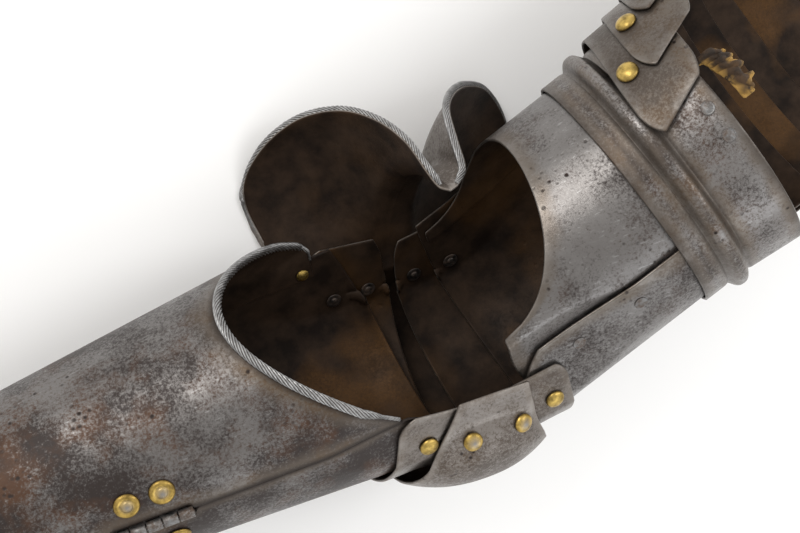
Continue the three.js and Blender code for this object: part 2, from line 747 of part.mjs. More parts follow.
// The stud that keeps the forearm shut and the rivet of the closing seam near the crook
const studSeat = tubeSeat(hingeAt, closingSeam - closingLap / 2, foreRadius, foreFlat);
const stud = named('closing_stud', domeHead(domeRadius * 0.8, domeHeight * 1.3), darkSteel);
fore.add(standOn(stud, studSeat.point, studSeat.outward, sheet / 2 + fit));
const insideLap = (at) => (x) => at(x) - sheet - slip;
const seamSeat = tubeSeat(closingRivetAt, closingSeam - closingLap / 2, insideLap(foreRadius), insideLap(foreFlat));
const seamRivet = named('closing_seam_rivet', domeHead(domeRadius * 0.7, domeHeight * 0.7), brass);
fore.add(standOn(seamRivet, seamSeat.point, seamSeat.outward.negate(), sheet / 2 + fit * 2));

// How the arm lies on a table: it rolls towards its wing until it stands on the three places of
// its convex outline that are under its centre of mass
const restDown = new THREE.Vector3(0.21, 0.71, -0.68).normalize();

function bodyPoints(root) {
  root.updateMatrixWorld(true);
  const points = [];
  const centre = new THREE.Vector3();
  let volume = 0;
  root.traverse((mesh) => {
    if (!mesh.isMesh) return;
    const place = mesh.geometry.attributes.position;
    const own = [];
    for (let i = 0; i < place.count; i += 1) {
      own.push(new THREE.Vector3().fromBufferAttribute(place, i).applyMatrix4(mesh.matrixWorld));
    }
    const index = mesh.geometry.index.array;
    for (let k = 0; k < index.length; k += 3) {
      const [a, b, c] = [own[index[k]], own[index[k + 1]], own[index[k + 2]]];
      const six = a.dot(b.clone().cross(c));
      volume += six;
      centre.addScaledVector(a.clone().add(b).add(c), six / 4);
    }
    points.push(...own);
  });
  return { points, centre: centre.divideScalar(volume) };
}

function restingTurn(root) {
  const { points, centre } = bodyPoints(root);
  const hull = new ConvexHull().setFromPoints(points);
  let best = null;
  for (const face of hull.faces) {
    const corners = [face.edge.head().point, face.edge.next.head().point, face.edge.prev.head().point];
    const foot = centre.clone().addScaledVector(face.normal, face.constant - face.normal.dot(centre));
    const inside = new THREE.Triangle(...corners).containsPoint(foot);
    const closeness = face.normal.dot(restDown);
    if (inside && (!best || closeness > best.closeness)) best = { normal: face.normal, closeness };
  }
  const down = new THREE.Vector3(0, 0, -1);
  const lay = new THREE.Quaternion().setFromUnitVectors(best.normal, down);
  const along = new THREE.Vector3(1, 0, 0).applyQuaternion(lay);
  const yaw = new THREE.Quaternion().setFromAxisAngle(down, Math.atan2(along.y, along.x));
  return yaw.multiply(lay);
}

const lying = new THREE.Group();
lying.add(fore);
lying.quaternion.copy(restingTurn(fore));
const group = new THREE.Group();
group.add(lying);
const box = new THREE.Box3().setFromPoints(bodyPoints(group).points);
const middle = box.getCenter(new THREE.Vector3());
lying.position.set(-middle.x, -middle.y, -box.min.z);
group.updateMatrixWorld(true);

export default group;
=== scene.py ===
import json

import bmesh
import bpy
import numpy as np
from mathutils import Matrix, Vector


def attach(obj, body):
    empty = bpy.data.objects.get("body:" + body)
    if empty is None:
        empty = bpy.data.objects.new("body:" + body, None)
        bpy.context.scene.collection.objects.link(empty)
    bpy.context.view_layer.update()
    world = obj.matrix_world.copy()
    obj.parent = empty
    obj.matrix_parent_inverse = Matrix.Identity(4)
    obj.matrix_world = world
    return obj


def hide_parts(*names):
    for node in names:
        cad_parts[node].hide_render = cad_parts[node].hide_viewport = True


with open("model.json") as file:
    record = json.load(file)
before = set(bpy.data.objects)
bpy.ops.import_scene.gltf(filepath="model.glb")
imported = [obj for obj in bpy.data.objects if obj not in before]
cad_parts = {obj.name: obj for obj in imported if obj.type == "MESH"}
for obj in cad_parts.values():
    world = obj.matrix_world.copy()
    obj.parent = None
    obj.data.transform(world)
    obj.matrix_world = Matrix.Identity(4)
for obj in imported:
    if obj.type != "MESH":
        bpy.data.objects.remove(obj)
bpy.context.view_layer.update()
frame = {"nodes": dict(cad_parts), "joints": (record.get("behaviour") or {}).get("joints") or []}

# The stage
# A white paper floor under big soft lights, as for a catalogue picture of armour. The arm lies on
# its winged side and is seen from above through a short telephoto lens.
def shown(name, data):
    obj = bpy.data.objects.new(name, data)
    bpy.context.collection.objects.link(obj)
    return obj


floor_mesh = bpy.data.meshes.new("floor")
floor_mesh.from_pydata([(-4, -4, 0), (4, -4, 0), (4, 4, 0), (-4, 4, 0)], [], [(0, 1, 2, 3)])
shown("floor", floor_mesh)
paper = bpy.data.materials.new("white_paper")
paper.use_nodes = True
surface = paper.node_tree.nodes["Principled BSDF"].inputs
surface["Base Color"].default_value = (0.93, 0.93, 0.93, 1)
surface["Roughness"].default_value = 0.9
floor_mesh.materials.append(paper)

world = bpy.data.worlds.new("studio")
bpy.context.scene.world = world
world.use_nodes = True
sky = world.node_tree.nodes["Background"].inputs
sky["Color"].default_value = (1, 0.985, 0.965, 1)
sky["Strength"].default_value = 0.95
bpy.context.scene.view_settings.view_transform = "Standard"


def soft_light(name, place, aim, size, power, colour=(1, 1, 1)):
    light = bpy.data.lights.new(name, "AREA")
    light.shape = "RECTANGLE"
    light.size, light.size_y = size
    light.energy = power
    light.color = colour
    lamp = shown(name, light)
    lamp.location = place
    lamp.rotation_euler = (Vector(aim) - Vector(place)).to_track_quat("-Z", "Y").to_euler()


soft_light("key_light", (-0.6, 1.25, 1.1), (0, 0, 0.08), (0.5, 1.0), 12, (1, 0.98, 0.95))
soft_light("fill_light", (0.3, -1.4, 0.9), (0, 0, 0.06), (1.4, 0.5), 4, (0.9, 0.95, 1))
soft_light("top_light", (0.9, 0.1, 1.2), (0.1, 0, 0.1), (0.5, 1.0), 5)

# How the arm is put together and lies
# Four pivot lines across the elbow join the cannons, two lames and the couter. Each piece is drawn
# in its own frame along the arm, in millimetres, and put in place by these frames.
pivot_depth = 17.5
lame_span = 20
couter_span = 26
elbow_flex = (-13.6, 6.4, 12, 16)
bead_at = 105.5


def flexed(parent, at, turn):
    place = Matrix.Translation((at, 0, -pivot_depth))
    back = Matrix.Translation((0, 0, pivot_depth))
    return parent @ place @ Matrix.Rotation(-np.radians(turn), 4, "Y") @ back


in_arm = {"fore": Matrix.Identity(4)}
in_arm["lame_lower"] = flexed(in_arm["fore"], 0, elbow_flex[0])
in_arm["couter"] = flexed(in_arm["lame_lower"], lame_span, elbow_flex[1])
in_arm["lame_upper"] = flexed(in_arm["couter"], couter_span, elbow_flex[2])
in_arm["upper"] = flexed(in_arm["lame_upper"], lame_span, elbow_flex[3])

joints = {j["name"]: j for j in frame["joints"]}
first_pivot = Vector(joints["lower_lame_pivots"]["pos_m"]) * 1000
arm_side = -Vector(joints["lower_lame_pivots"]["axis"]).normalized()
reach_lying = Vector(joints["turner"]["pos_m"]) * 1000 - first_pivot
reach_drawn = in_arm["upper"] @ Vector((bead_at, 0, 0)) - Vector((0, 0, -pivot_depth))


def basis(along, side):
    along = (along - side * along.dot(side)).normalized()
    return Matrix((along, side, along.cross(side))).transposed()


turn_to_lie = basis(reach_lying, arm_side) @ basis(reach_drawn, Vector((0, 1, 0))).transposed()
lies = Matrix.Translation(first_pivot - turn_to_lie @ Vector((0, 0, -pivot_depth))) @ turn_to_lie.to_4x4()
place_of = {piece: Matrix.Scale(0.001, 4) @ lies @ own for piece, own in in_arm.items()}

# The camera stands where the photograph was taken from: near the crook side of the elbow.
view_rows = Matrix((
    (0.8985741, -0.4130468, -0.1481787),
    (0.3836330, 0.5754803, 0.7222521),
    (-0.2130500, -0.7058433, 0.6755701),
))
view_from = view_rows.transposed() @ Vector((13.833, 35.684, 809.58))
camera_data = bpy.data.cameras.new("camera")
camera_data.sensor_width = 36
camera_data.lens = 76.25
camera = shown("camera", camera_data)
camera.matrix_world = (
    Matrix.Translation(0.001 * (lies @ view_from))
    @ (turn_to_lie @ view_rows.transposed()).to_4x4()
)
bpy.context.scene.camera = camera

# Lower cannon, back plate
# Steel plate 1.6 mm thick, raised into a tapering half tube for the outside of the forearm. Its
# elbow end turns under the first lame. All plates share this worn, patinated steel.
sheet = 1.6
fit = 0.3
play = 0.8
slip = 0.9
layer = sheet + play
tube_radius = 61.4
fore_length = 262
fore_taper = 0.0908
fore_end = 18.5
wrist_turn = 1
flat_side = 55.8
lame_over = 14.5
lame_under = 13
hinge_seam = -91.2
closing_seam = 103
closing_lap = 8
hinge_at = -128
hinge_length = 37
knuckle_radius = 2.6
seam_gap = 0.7
wrist_long = 14
bow_power = 8
far_bow = 112
far_bow_power = 2.6
fore_near_bow = 88
notch_reach = 1 / 12
roll_ease = 0.4


def ease(x, low, high):
    t = np.clip((x - low) / (high - low), 0, 1)
    return t * t * (3 - 2 * t)


def mix(a, b, t):
    return a + (b - a) * t


def on_tube(x, angle, radius, flat=np.inf):
    """A point of a tube along X, its angle from below and its sides pressed flat."""
    a = np.radians(angle)
    y = np.clip(radius * np.sin(a), -flat, flat)
    return np.stack(np.broadcast_arrays(x, y, -radius * np.cos(a)), -1)


def under_lap(x, angle, radius, flat, past):
    """A point of a tube whose end turns under the next plate, past mm beyond the pivots."""
    a = np.radians(angle)
    drop = radius * np.cos(a) - pivot_depth
    beyond = np.maximum(past, 1e-6)
    side = np.abs(radius * np.sin(a))
    reach = np.hypot(beyond, np.maximum(drop, 0))
    wall = np.minimum(flat, np.sqrt(np.maximum(radius ** 2 - (pivot_depth + reach) ** 2, 0)))
    round_z = -pivot_depth - np.sqrt(np.maximum(drop ** 2 - beyond ** 2, 0))
    low_z = -pivot_depth - np.where(drop > 0, drop * (np.maximum(drop, 0) / beyond) ** 2 * 0.5, drop)
    turned = drop > beyond
    z = np.where(turned, round_z, low_z)
    y = np.sign(angle) * np.minimum(side, np.where(turned, flat, wall))
    plain = on_tube(x, angle, radius, flat)
    lapped = np.stack(np.broadcast_arrays(x, y, z), -1)
    return np.where((past > 0)[..., None], lapped, plain)


def stations(count, extra=(), hem=0.006):
    """Shares of the way from 0 to 1, closer together by the edges."""
    own = np.concatenate((np.linspace(0, 1, count), extra, (hem, 1 - hem, hem * 3, 1 - hem * 3)))
    return np.unique(np.round(own, 6))


def skin_mesh(name, place, rings, quads, edge, inside, uv):
    """A smooth mesh whose points know how near the plate's edge and on which side they are."""
    mesh = bpy.data.meshes.new(name)
    mesh.from_pydata([place @ Vector(p) for p in rings], [], quads)
    for attribute, values in (("edge", edge), ("inside", inside)):
        layer_of = mesh.attributes.new(attribute, "FLOAT", "POINT")
        layer_of.data.foreach_set("value", np.asarray(values, dtype=np.float32))
    layer_uv = mesh.uv_layers.new(name="along_plate")
    index = np.empty(len(mesh.loops), dtype=np.int32)
    mesh.loops.foreach_get("vertex_index", index)
    layer_uv.data.foreach_set("uv", np.asarray(uv, dtype=np.float32)[index].ravel())
    mesh.polygons.foreach_set("use_smooth", np.ones(len(mesh.polygons), dtype=bool))
    mesh.validate()
    return shown(name, mesh)


def faced(at, u, v, step=1e-4):
    """A plate's middle at places u, v and the way that its outer side faces there."""
    du = at(np.minimum(u + step, 1), v) - at(np.maximum(u - step, 0), v)
    dv = at(u, np.minimum(v + step, 1)) - at(u, np.maximum(v - step, 0))
    normal = np.cross(dv, du)
    return at(u, v), normal / np.linalg.norm(normal, axis=-1, keepdims=True)


def steps_along(points, axis):
    """How far each point is along its row or column, in mm."""
    steps = np.linalg.norm(np.diff(points, axis=axis), axis=-1)
    return np.cumsum(np.insert(steps, 0, 0, axis=axis), axis=axis)


def shell(name, at, us, vs, frame_of, thick=sheet, roll=None):
    """A plate of even thickness over at(u, v), in mm, its outer side facing dv x du. roll(u, v) is
    the radius of a rolled edge, and half the thickness where the edge is only dressed round."""
    u, v = np.meshgrid(us, vs, indexing="xy")
    mid, normal = faced(at, u, v)
    nv, nu = u.shape
    outer = mid + normal * thick / 2
    inner = mid - normal * thick / 2
    along, across = steps_along(mid, 1), steps_along(mid, 0)
    to_edge = np.minimum.reduce([along, along[:, -1:] - along, across, across[-1:] - across])
    key = np.arange(nu * nv).reshape(nv, nu)
    a, b, c, d = key[:-1, :-1], key[:-1, 1:], key[1:, 1:], key[1:, :-1]
    top = np.stack((a, d, c, b), -1).reshape(-1, 4)
    low = np.stack((a, b, c, d), -1).reshape(-1, 4) + nu * nv
    loop = [(j, 0) for j in range(nv - 1)] + [(nv - 1, i) for i in range(nu - 1)]
    loop += [(j, nu - 1) for j in range(nv - 1, 0, -1)] + [(0, i) for i in range(nu - 1, 0, -1)]
    rows, columns = np.array(loop).T
    middle = mid[rows, columns]
    stand = normal[rows, columns]
    out = np.cross(np.roll(middle, -1, 0) - np.roll(middle, 1, 0), stand)
    out /= np.linalg.norm(out, axis=-1, keepdims=True)
    radius = np.full(len(loop), thick / 2)
    if roll is not None:
        radius = np.maximum(roll(u[rows, columns], v[rows, columns]), thick / 2)
    radius = radius[:, None]
    rolled = np.clip((radius - thick / 2) / roll_ease, 0, 1)
    turns = np.radians((150, 120, 90, 60, 30, 0, -30, -60))
    dressed = np.radians((82, 68, 52, 34, 14, -8, -34, -62))
    rings = []
    for turn, dressed_turn in zip(turns, dressed):
        turn = mix(dressed_turn, turn, rolled)
        bulge = out * mix(thick / 2 * np.cos(turn), radius * (1 + np.cos(turn)), rolled)
        rings.append(middle + bulge + stand * (radius - thick / 2 + radius * np.sin(turn)))
    points = np.concatenate([outer.reshape(-1, 3), inner.reshape(-1, 3)] + rings)
    count = len(loop)
    first = key[rows, columns]
    chain = [first] + [2 * nu * nv + k * count + np.arange(count) for k in range(len(rings))]
    chain.append(first + nu * nv)
    sides = [np.stack((np.roll(r, -1), r, s, np.roll(s, -1)), -1) for r, s in zip(chain, chain[1:])]
    quads = np.concatenate([top, low] + sides)
    flat_uv = np.stack((along, across), -1).reshape(-1, 2) / 1000
    edge = np.concatenate((to_edge.ravel(), to_edge.ravel(), np.zeros(count * len(rings)))) / 1000
    inside = np.concatenate((np.zeros(nu * nv), np.ones(nu * nv), np.repeat(turns < -0.2, count)))
    uv = np.concatenate((flat_uv, flat_uv, np.tile(flat_uv[first], (len(rings), 1))))
    return skin_mesh(name, place_of[frame_of], points, quads.tolist(), edge, inside, uv)


def fore_radius(x):
    return tube_radius + fore_taper * np.minimum(x, 0)


def fore_flat(x):
    return mix(tube_radius, flat_side, ease(x, -fore_length * 0.4, -lame_over))


def hinge_notch(x):
    """How far the plates stand back from the hinge seam, as an angle, where the knuckles are."""
    back = np.where(np.abs(x - hinge_at) < hinge_length / 2 + fit, knuckle_radius + fit, 0)
    return np.degrees(back / fore_radius(x))


def end_bow(angle, near_bow):
    """How much of a back plate's reach past its pivots is left: its near corner is drawn back."""
    near = 1 - (np.abs(angle) / near_bow) ** bow_power
    return np.where(angle < 0, near, 1 - (np.abs(angle) / far_bow) ** far_bow_power)


def wrist_flare(x):
    return wrist_turn * (1 - ease(x, -fore_length, -fore_length + wrist_long)) ** 2


def fore_back(u, v):
    angle = mix(hinge_seam, closing_seam, v)
    end = fore_end * end_bow(angle, fore_near_bow)
    x = mix(-fore_length, end, u)
    angle = angle + hinge_notch(x) * np.clip(1 - v / notch_reach, 0, 1)
    return under_lap(x, angle, fore_radius(x) + wrist_flare(x), fore_flat(x), x)


notch_shares = [
    (hinge_at + side * (hinge_length / 2 + fit) + nudge + fore_length) / fore_length
    for side in (-1, 1) for nudge in (-0.05, 0.05)
]


def feed(tree, sockets, values):
    """Sets sockets, by name or place, to values or links them to the outputs given."""
    for key, value in values.items():
        if isinstance(value, bpy.types.NodeSocket):
            tree.links.new(value, sockets[key])
        else:
            sockets[key].default_value = value


def wire(tree, kind, values=None, **settings):
    """A node of the tree with its settings and what its sockets take."""
    made = tree.nodes.new(kind)
    for key, value in settings.items():
        setattr(made, key, value)
    feed(tree, made.inputs, values or {})
    return made


def reckon(tree, how, *values, clamp=False):
    values = dict(enumerate(values))
    return wire(tree, "ShaderNodeMath", values, operation=how, use_clamp=clamp).outputs[0]


def product(tree, a, b):
    return reckon(tree, "MULTIPLY", a, b, clamp=True)


def ramp(tree, value, *stops):
    """Values or colours eased over stops of (place, value)."""
    made = wire(tree, "ShaderNodeValToRGB", {"Fac": value})
    band = made.color_ramp
    while len(band.elements) < len(stops):
        band.elements.new(0.5)
    for element, (place, tone) in zip(band.elements, stops):
        element.position = place
        element.color = (tone, tone, tone, 1) if isinstance(tone, (int, float)) else (*tone, 1)
    return made.outputs["Color"]


def blend_colour(tree, share, low, high):
    values = {0: share}
    for place, tone in ((6, low), (7, high)):
        values[place] = (*tone, 1) if isinstance(tone, tuple) else tone
    return wire(tree, "ShaderNodeMix", values, data_type="RGBA").outputs[2]


def toned(bright, *tones):
    return tuple(bright * tone for tone in tones)


def cloud(tree, where, scale, detail=4, rough=0.55, warp=0.0):
    sockets = {"Vector": where, "Scale": scale, "Detail": detail, "Roughness": rough, "Distortion": warp}
    return wire(tree, "ShaderNodeTexNoise", sockets).outputs["Fac"]


def new_finish(name):
    """A material with its node tree, its shader's sockets and the place on the object."""
    made = bpy.data.materials.new(name)
    made.use_nodes = True
    tree = made.node_tree
    here = wire(tree, "ShaderNodeTexCoord").outputs["Object"]
    return made, tree, tree.nodes["Principled BSDF"].inputs, here


def own_value(tree, name):
    return wire(tree, "ShaderNodeAttribute", attribute_name=name).outputs["Fac"]


def bumped(tree, height, distance, strength):
    bump = wire(tree, "ShaderNodeBump", {"Height": height, "Distance": distance, "Strength": strength})
    return bump.outputs["Normal"]


def worn_steel(name, bright, dark, seed, rusty, smooth=1.0, calm=0.0, edge_shade=0.0):
    """Old plate: grey steel showing in fine speckles through a dark brown patina, smooth brownish
    bands along the edges, pits, scratches and a rusty back. bright is the bare steel's tone, dark
    how much patina is left, rusty how warm it is, smooth how wide the bands are, calm how even
    the rest is, and the last how dark the shade is that is painted along the edges, seams and grooves."""
    made, tree, surface, here = new_finish(name)
    shift = (seed * 0.37, seed * 0.71, 0)
    here = wire(tree, "ShaderNodeMapping", {"Vector": here, "Location": shift}).outputs[0]
    edge = own_value(tree, "edge")
    inside = own_value(tree, "inside")
    zones = cloud(tree, here, 17, 3, 0.55, 0.2)
    patches = cloud(tree, here, 62, 6, 0.62)
    mottle = cloud(tree, here, 680, 7, 0.82)
    warmth = cloud(tree, here, 34, 5, 0.6)
    stretched = {"Vector": here, "Rotation": (0.3, 0.2, 0.46), "Scale": (35, 900, 900)}
    long_way = wire(tree, "ShaderNodeMapping", stretched).outputs[0]
    scratch = ramp(tree, cloud(tree, long_way, 1, 4, 0.6), (0.6, 0.0), (0.72, 1.0))

    # how near the edge, and how much of the patina is worn off
    band = reckon(tree, "ADD", product(tree, edge, 60.0 / smooth), product(tree, patches, 0.9))
    band = ramp(tree, band, (0.62, 1.0), (1.0, 0.0))
    half_band = product(tree, band, 0.45)
    worn = reckon(tree, "ADD", product(tree, mottle, 1.0), product(tree, patches, 0.34))
    worn = reckon(tree, "ADD", worn, product(tree, zones, 0.68))
    worn = reckon(tree, "MULTIPLY", worn, 0.5)
    middle = (0.96 + 0.16 * dark) / 2
    worn = ramp(tree, worn, (middle - 0.045, 0.0), (middle + 0.045, 1.0))
    warm = product(tree, ramp(tree, warmth, (0.47, 0.0), (0.62, 1.0)), rusty)

    # the outside: patina, bare steel, smooth bands, pits, painted shade at edges and seams, and rubbed edges
    patina = blend_colour(tree, warm, (0.026, 0.019, 0.017), (0.062, 0.03, 0.016))
    steel = blend_colour(tree, patches, toned(bright, 0.78, 0.72, 0.69), toned(bright, 1.3, 1.25, 1.22))
    steel = blend_colour(tree, product(tree, scratch, 0.3), steel, (0.5, 0.5, 0.5))
    hue = blend_colour(tree, worn, patina, steel)
    brown = blend_colour(tree, warm, toned(bright, 0.76, 0.62, 0.5), toned(bright, 0.66, 0.48, 0.3))
    evenly = reckon(tree, "MAXIMUM", product(tree, band, 0.6), calm)
    hue = blend_colour(tree, evenly, hue, brown)
    spots = wire(tree, "ShaderNodeTexVoronoi", {"Vector": here, "Scale": 240.0, "Randomness": 1.0})
    pits = ramp(tree, spots.outputs["Distance"], (0.14, 1.0), (0.3, 0.0))
    pits = product(tree, pits, ramp(tree, warmth, (0.56, 0.0), (0.64, 1.0)))
    hue = blend_colour(tree, pits, hue, (0.02, 0.014, 0.012))
    # Painted shade: edges, seams and grooves go near black within about a millimetre, for the dark lines
    # where plates meet.
    if edge_shade:
        painted_edge_shade = product(tree, ramp(tree, edge, (0.0004, 1.0), (0.0013, 0.0)), edge_shade)
        hue = blend_colour(tree, painted_edge_shade, hue, (0.016, 0.011, 0.009))
    rub = ramp(tree, edge, (0.0, 1.0), (0.0006, 0.0))
    rub = product(tree, rub, ramp(tree, patches, (0.42, 0.15), (0.6, 1.0)))
    rub = product(tree, rub, 0.4 * (1 - edge_shade))
    hue = blend_colour(tree, rub, hue, toned(bright, 1.6, 1.5, 1.4))

    # the inside: dark brown, with ochre rust in zones
    back = ramp(tree, patches, (0.36, 0.0), (0.64, 1.0))
    back = blend_colour(tree, back, (0.011, 0.007, 0.005), (0.036, 0.022, 0.014))
    ochre = ramp(tree, zones, (0.5, 0.0), (0.64, 1.0))
    ochre = product(tree, ochre, ramp(tree, mottle, (0.3, 0.35), (0.65, 1.0)))
    back = blend_colour(tree, product(tree, ochre, 0.75 * rusty), back, (0.11, 0.052, 0.015))
    hue = blend_colour(tree, inside, hue, back)

    shiny = reckon(tree, "MAXIMUM", worn, half_band)
    metal = reckon(tree, "ADD", 0.35, product(tree, reckon(tree, "MAXIMUM", shiny, calm), 0.65))
    metal = product(tree, metal, reckon(tree, "SUBTRACT", 1.0, product(tree, inside, 0.75)))
    rough = reckon(tree, "SUBTRACT", 0.5, product(tree, shiny, 0.16))
    rough = reckon(tree, "ADD", rough, product(tree, inside, 0.14))
    hammer = cloud(tree, here, 26, 2, 0.5)
    height = reckon(tree, "SUBTRACT", product(tree, mottle, 0.3), product(tree, pits, 0.5))
    height = reckon(tree, "ADD", height, patches)
    height = reckon(tree, "MULTIPLY_ADD", hammer, 3.0, height)
    feed(tree, surface, {
        "Base Color": hue,
        "Metallic": metal,
        "Roughness": rough,
        "Specular IOR Level": reckon(tree, "SUBTRACT", 0.32, product(tree, inside, 0.2)),
        "Normal": bumped(tree, height, 0.0005, 0.6),
    })
    return made


def finished(obj, finish, body, slot, *nodes):
    """Gives a piece its material and its body, and hides the nodes that it stands for; slot is not used."""
    obj.data.materials.clear()
    obj.data.materials.append(finish)
    if nodes:
        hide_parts(*nodes)
    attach(obj, body)
    return obj


fore_steel = worn_steel("patinated_forearm_steel", 0.14, 0.66, 1, rusty=0.9, edge_shade=0.9)
plate = shell("lower_cannon_back", fore_back, stations(90, notch_shares), stations(90), "fore")
finished(plate, fore_steel, "fore_back", "steel", "fore_back_plate")

# Lower cannon, front plate
# The inner half of the forearm tube, hinged to the back plate and slipped inside it at the closing
# seam. Its rim at the crook is cut in a deep curve and turned out over a roped edge.
rim_deep = 69
rim_tip = 8
rim_centre = 190
rim_half_angle = 80
rope_radius = 1.9
front_from = closing_seam - closing_lap
front_to = 360 + hinge_seam
lap_share = closing_lap / (front_to - front_from)


def fore_front(u, v):
    angle = mix(front_from, front_to, v)
    past = np.minimum(np.abs(angle - rim_centre) / rim_half_angle, 1)
    end = -rim_deep + (rim_deep - rim_tip) * (1 - np.cos(np.radians(past * 90)))
    x = mix(-fore_length, end, u)
    lap = -(sheet + slip) * (1 - ease(angle, closing_seam, closing_seam + 24))
    seat = fore_radius(x) + lap + wrist_flare(x)
    seam = (np.degrees(seam_gap / seat) + hinge_notch(x)) * np.clip(1 - (1 - v) / notch_reach, 0, 1)
    return on_tube(x, angle - seam, seat, fore_flat(x) + lap)


def fore_rope(v):
    return rope_radius * ease(1 - v, 0, 0.09) * ease(v, lap_share * 1.2, lap_share * 2.5)


def rim_line(at, u, v, radius, past_edge=1.0, behind=0.0):
    """Where a rolled edge's middle runs, for places u, v along the rim."""
    mid, normal = faced(at, u, v)
    out = np.cross(np.gradient(mid, axis=0), normal)
    out /= np.linalg.norm(out, axis=-1, keepdims=True)
    inwards = at(0.5 + (u - 0.5) * 0.99, np.minimum(v, 0.5 + (v - 0.5) * 0.99)) - mid
    out *= -np.sign(np.sum(out * inwards, axis=-1, keepdims=True))
    return mid + out * past_edge * radius[:, None] + normal * (radius - sheet / 2 + behind)[:, None]


def tree_of(name, **inputs):
    """A geometry node tree, with its own sockets by name and kind."""
    tree = bpy.data.node_groups.new(name, "GeometryNodeTree")
    tree.interface.new_socket("Geometry", in_out="INPUT", socket_type="NodeSocketGeometry")
    for label, kind in inputs.items():
        tree.interface.new_socket(label, in_out="INPUT", socket_type="NodeSocket" + kind)
    tree.interface.new_socket("Geometry", in_out="OUTPUT", socket_type="NodeSocketGeometry")
    return tree, tree.nodes.new("NodeGroupInput"), tree.nodes.new("NodeGroupOutput")


def end_tree(tree, given, leave, geometry):
    smooth = wire(tree, "GeometryNodeSetShadeSmooth", {"Geometry": geometry})
    whole = wire(tree, "GeometryNodeRealizeInstances", {"Geometry": smooth.outputs[0]})
    finish = {"Geometry": whole.outputs[0], "Material": given.outputs["Finish"]}
    feed(tree, leave.inputs, {"Geometry": wire(tree, "GeometryNodeSetMaterial", finish).outputs[0]})


def grown(obj, tree, **values):
    """The object's own mesh after a node tree with these inputs, as a plain mesh."""
    modifier = obj.modifiers.new("growth", "NODES")
    modifier.node_group = tree
    for item in tree.interface.items_tree:
        if item.in_out == "INPUT" and item.name in values:
            modifier[item.identifier] = values[item.name]
    bpy.context.view_layer.update()
    made = bpy.data.meshes.new_from_object(obj.evaluated_get(bpy.context.evaluated_depsgraph_get()))
    obj.modifiers.remove(modifier)
    made.name = obj.name
    obj.data = made
    return obj


def rolled_line(name, place, points, radius):
    """A line of points, each with the radius of the edge rolled there."""
    mesh = bpy.data.meshes.new(name)
    edges = [(k, k + 1) for k in range(len(points) - 1)]
    mesh.from_pydata([place @ Vector(p) for p in points], edges, [])
    mesh.attributes.new("roll", "FLOAT", "POINT").data.foreach_set("value", np.asarray(radius) / 1000)
    return shown(name, mesh)


rope_tree, given, leave = tree_of(
    "roped_edge", Strands="Float", Turn="Float", Depth="Float", Step="Float", Finish="Material")
wanted = given.outputs


def grow(kind, values=None, **settings):
    return wire(rope_tree, "GeometryNode" + kind, values, **settings).outputs[0]


line = grow("MeshToCurve", {"Mesh": wanted["Geometry"]})
line = grow("ResampleCurve", {"Curve": line, "Length": wanted["Step"]}, mode="LENGTH")
rolled = grow("InputNamedAttribute", {"Name": "roll"}, data_type="FLOAT")
length = wire(rope_tree, "GeometryNodeSplineParameter").outputs["Length"]
twist = reckon(rope_tree, "MULTIPLY", reckon(rope_tree, "DIVIDE", length, wanted["Turn"]), 2 * np.pi)
line = grow("SetCurveTilt", {"Curve": line, "Tilt": twist})
line = grow("SetCurveRadius", {"Curve": line, "Radius": rolled})
ring = grow("CurvePrimitiveCircle", {"Resolution": 48, "Radius": 1.0})
spot = grow("InputPosition")
parts = wire(rope_tree, "ShaderNodeSeparateXYZ", {0: spot}).outputs
bearing = reckon(rope_tree, "ARCTAN2", parts[1], parts[0])
wave = reckon(rope_tree, "COSINE", reckon(rope_tree, "MULTIPLY", bearing, wanted["Strands"]))
wave = reckon(rope_tree, "MULTIPLY_ADD", wave, wanted["Depth"], 1.0)
swollen = wire(rope_tree, "ShaderNodeVectorMath", {0: spot, "Scale": wave}, operation="SCALE").outputs[0]
ring = grow("SetPosition", {"Geometry": ring, "Position": swollen})
# The strands' swell is kept as "edge", and the rope's finish paints shade in the grooves where it is low.
ring = grow("StoreNamedAttribute", {"Geometry": ring, "Name": "edge", "Value": wave}, domain="POINT")
whole_rope = {"Curve": line, "Profile Curve": ring, "Scale": rolled, "Fill Caps": True}
end_tree(rope_tree, given, leave, grow("CurveToMesh", whole_rope))
rope_strands = {"Strands": 8.0, "Turn": 0.021, "Depth": 0.13, "Step": 0.0006}


def rope_steel(name, bright):
    """The filed rope of a turned edge: bright on the strands, with shade painted dark brown in the grooves
    between them.
    """
    made, tree, surface, here = new_finish(name)
    blotch = cloud(tree, here, 240, 6, 0.65)
    # Painted shade: where the swell is low, between the strands, the colour goes dark brown.
    strand_clear_of_groove_shade = ramp(tree, own_value(tree, "edge"), (0.88, 0.0), (1.0, 1.0))
    steel = ramp(tree, blotch, (0.35, 0.0), (0.65, 1.0))
    steel = blend_colour(tree, steel, (bright * 0.5,) * 3, (bright,) * 3)
    feed(tree, surface, {
        "Base Color": blend_colour(tree, strand_clear_of_groove_shade, (0.03, 0.021, 0.016), steel),
        "Metallic": ramp(tree, strand_clear_of_groove_shade, (0.0, 0.4), (1.0, 1.0)),
        "Roughness": ramp(tree, blotch, (0.3, 0.32), (0.7, 0.5)),
    })
    return made


bright_rope = rope_steel("filed_rope_steel", 0.42)
fore_front_steel = worn_steel("patinated_front_steel", 0.155, 0.64, 5, rusty=1.0, smooth=1.4, edge_shade=0.9)
plate = shell("lower_cannon_front", fore_front, stations(90, notch_shares, 0.004), stations(110), "fore",
              roll=lambda u, v: 0.8 * np.where(u < 1, 0, fore_rope(v)))
finished(plate, fore_front_steel, "fore_front", "steel", "fore_front_plate")
least_rope = 0.85
along_rim = np.linspace(lap_share * 1.3, 0.995, 500)
thick_rope = np.maximum(fore_rope(along_rim), least_rope)
rim = rim_line(fore_front, np.ones(500), along_rim, thick_rope)
rope = rolled_line("lower_cannon_rope", place_of["fore"], rim, thick_rope)
grown(rope, rope_tree, **rope_strands, Finish=bright_rope)
finished(rope, bright_rope, "fore_front", "steel")

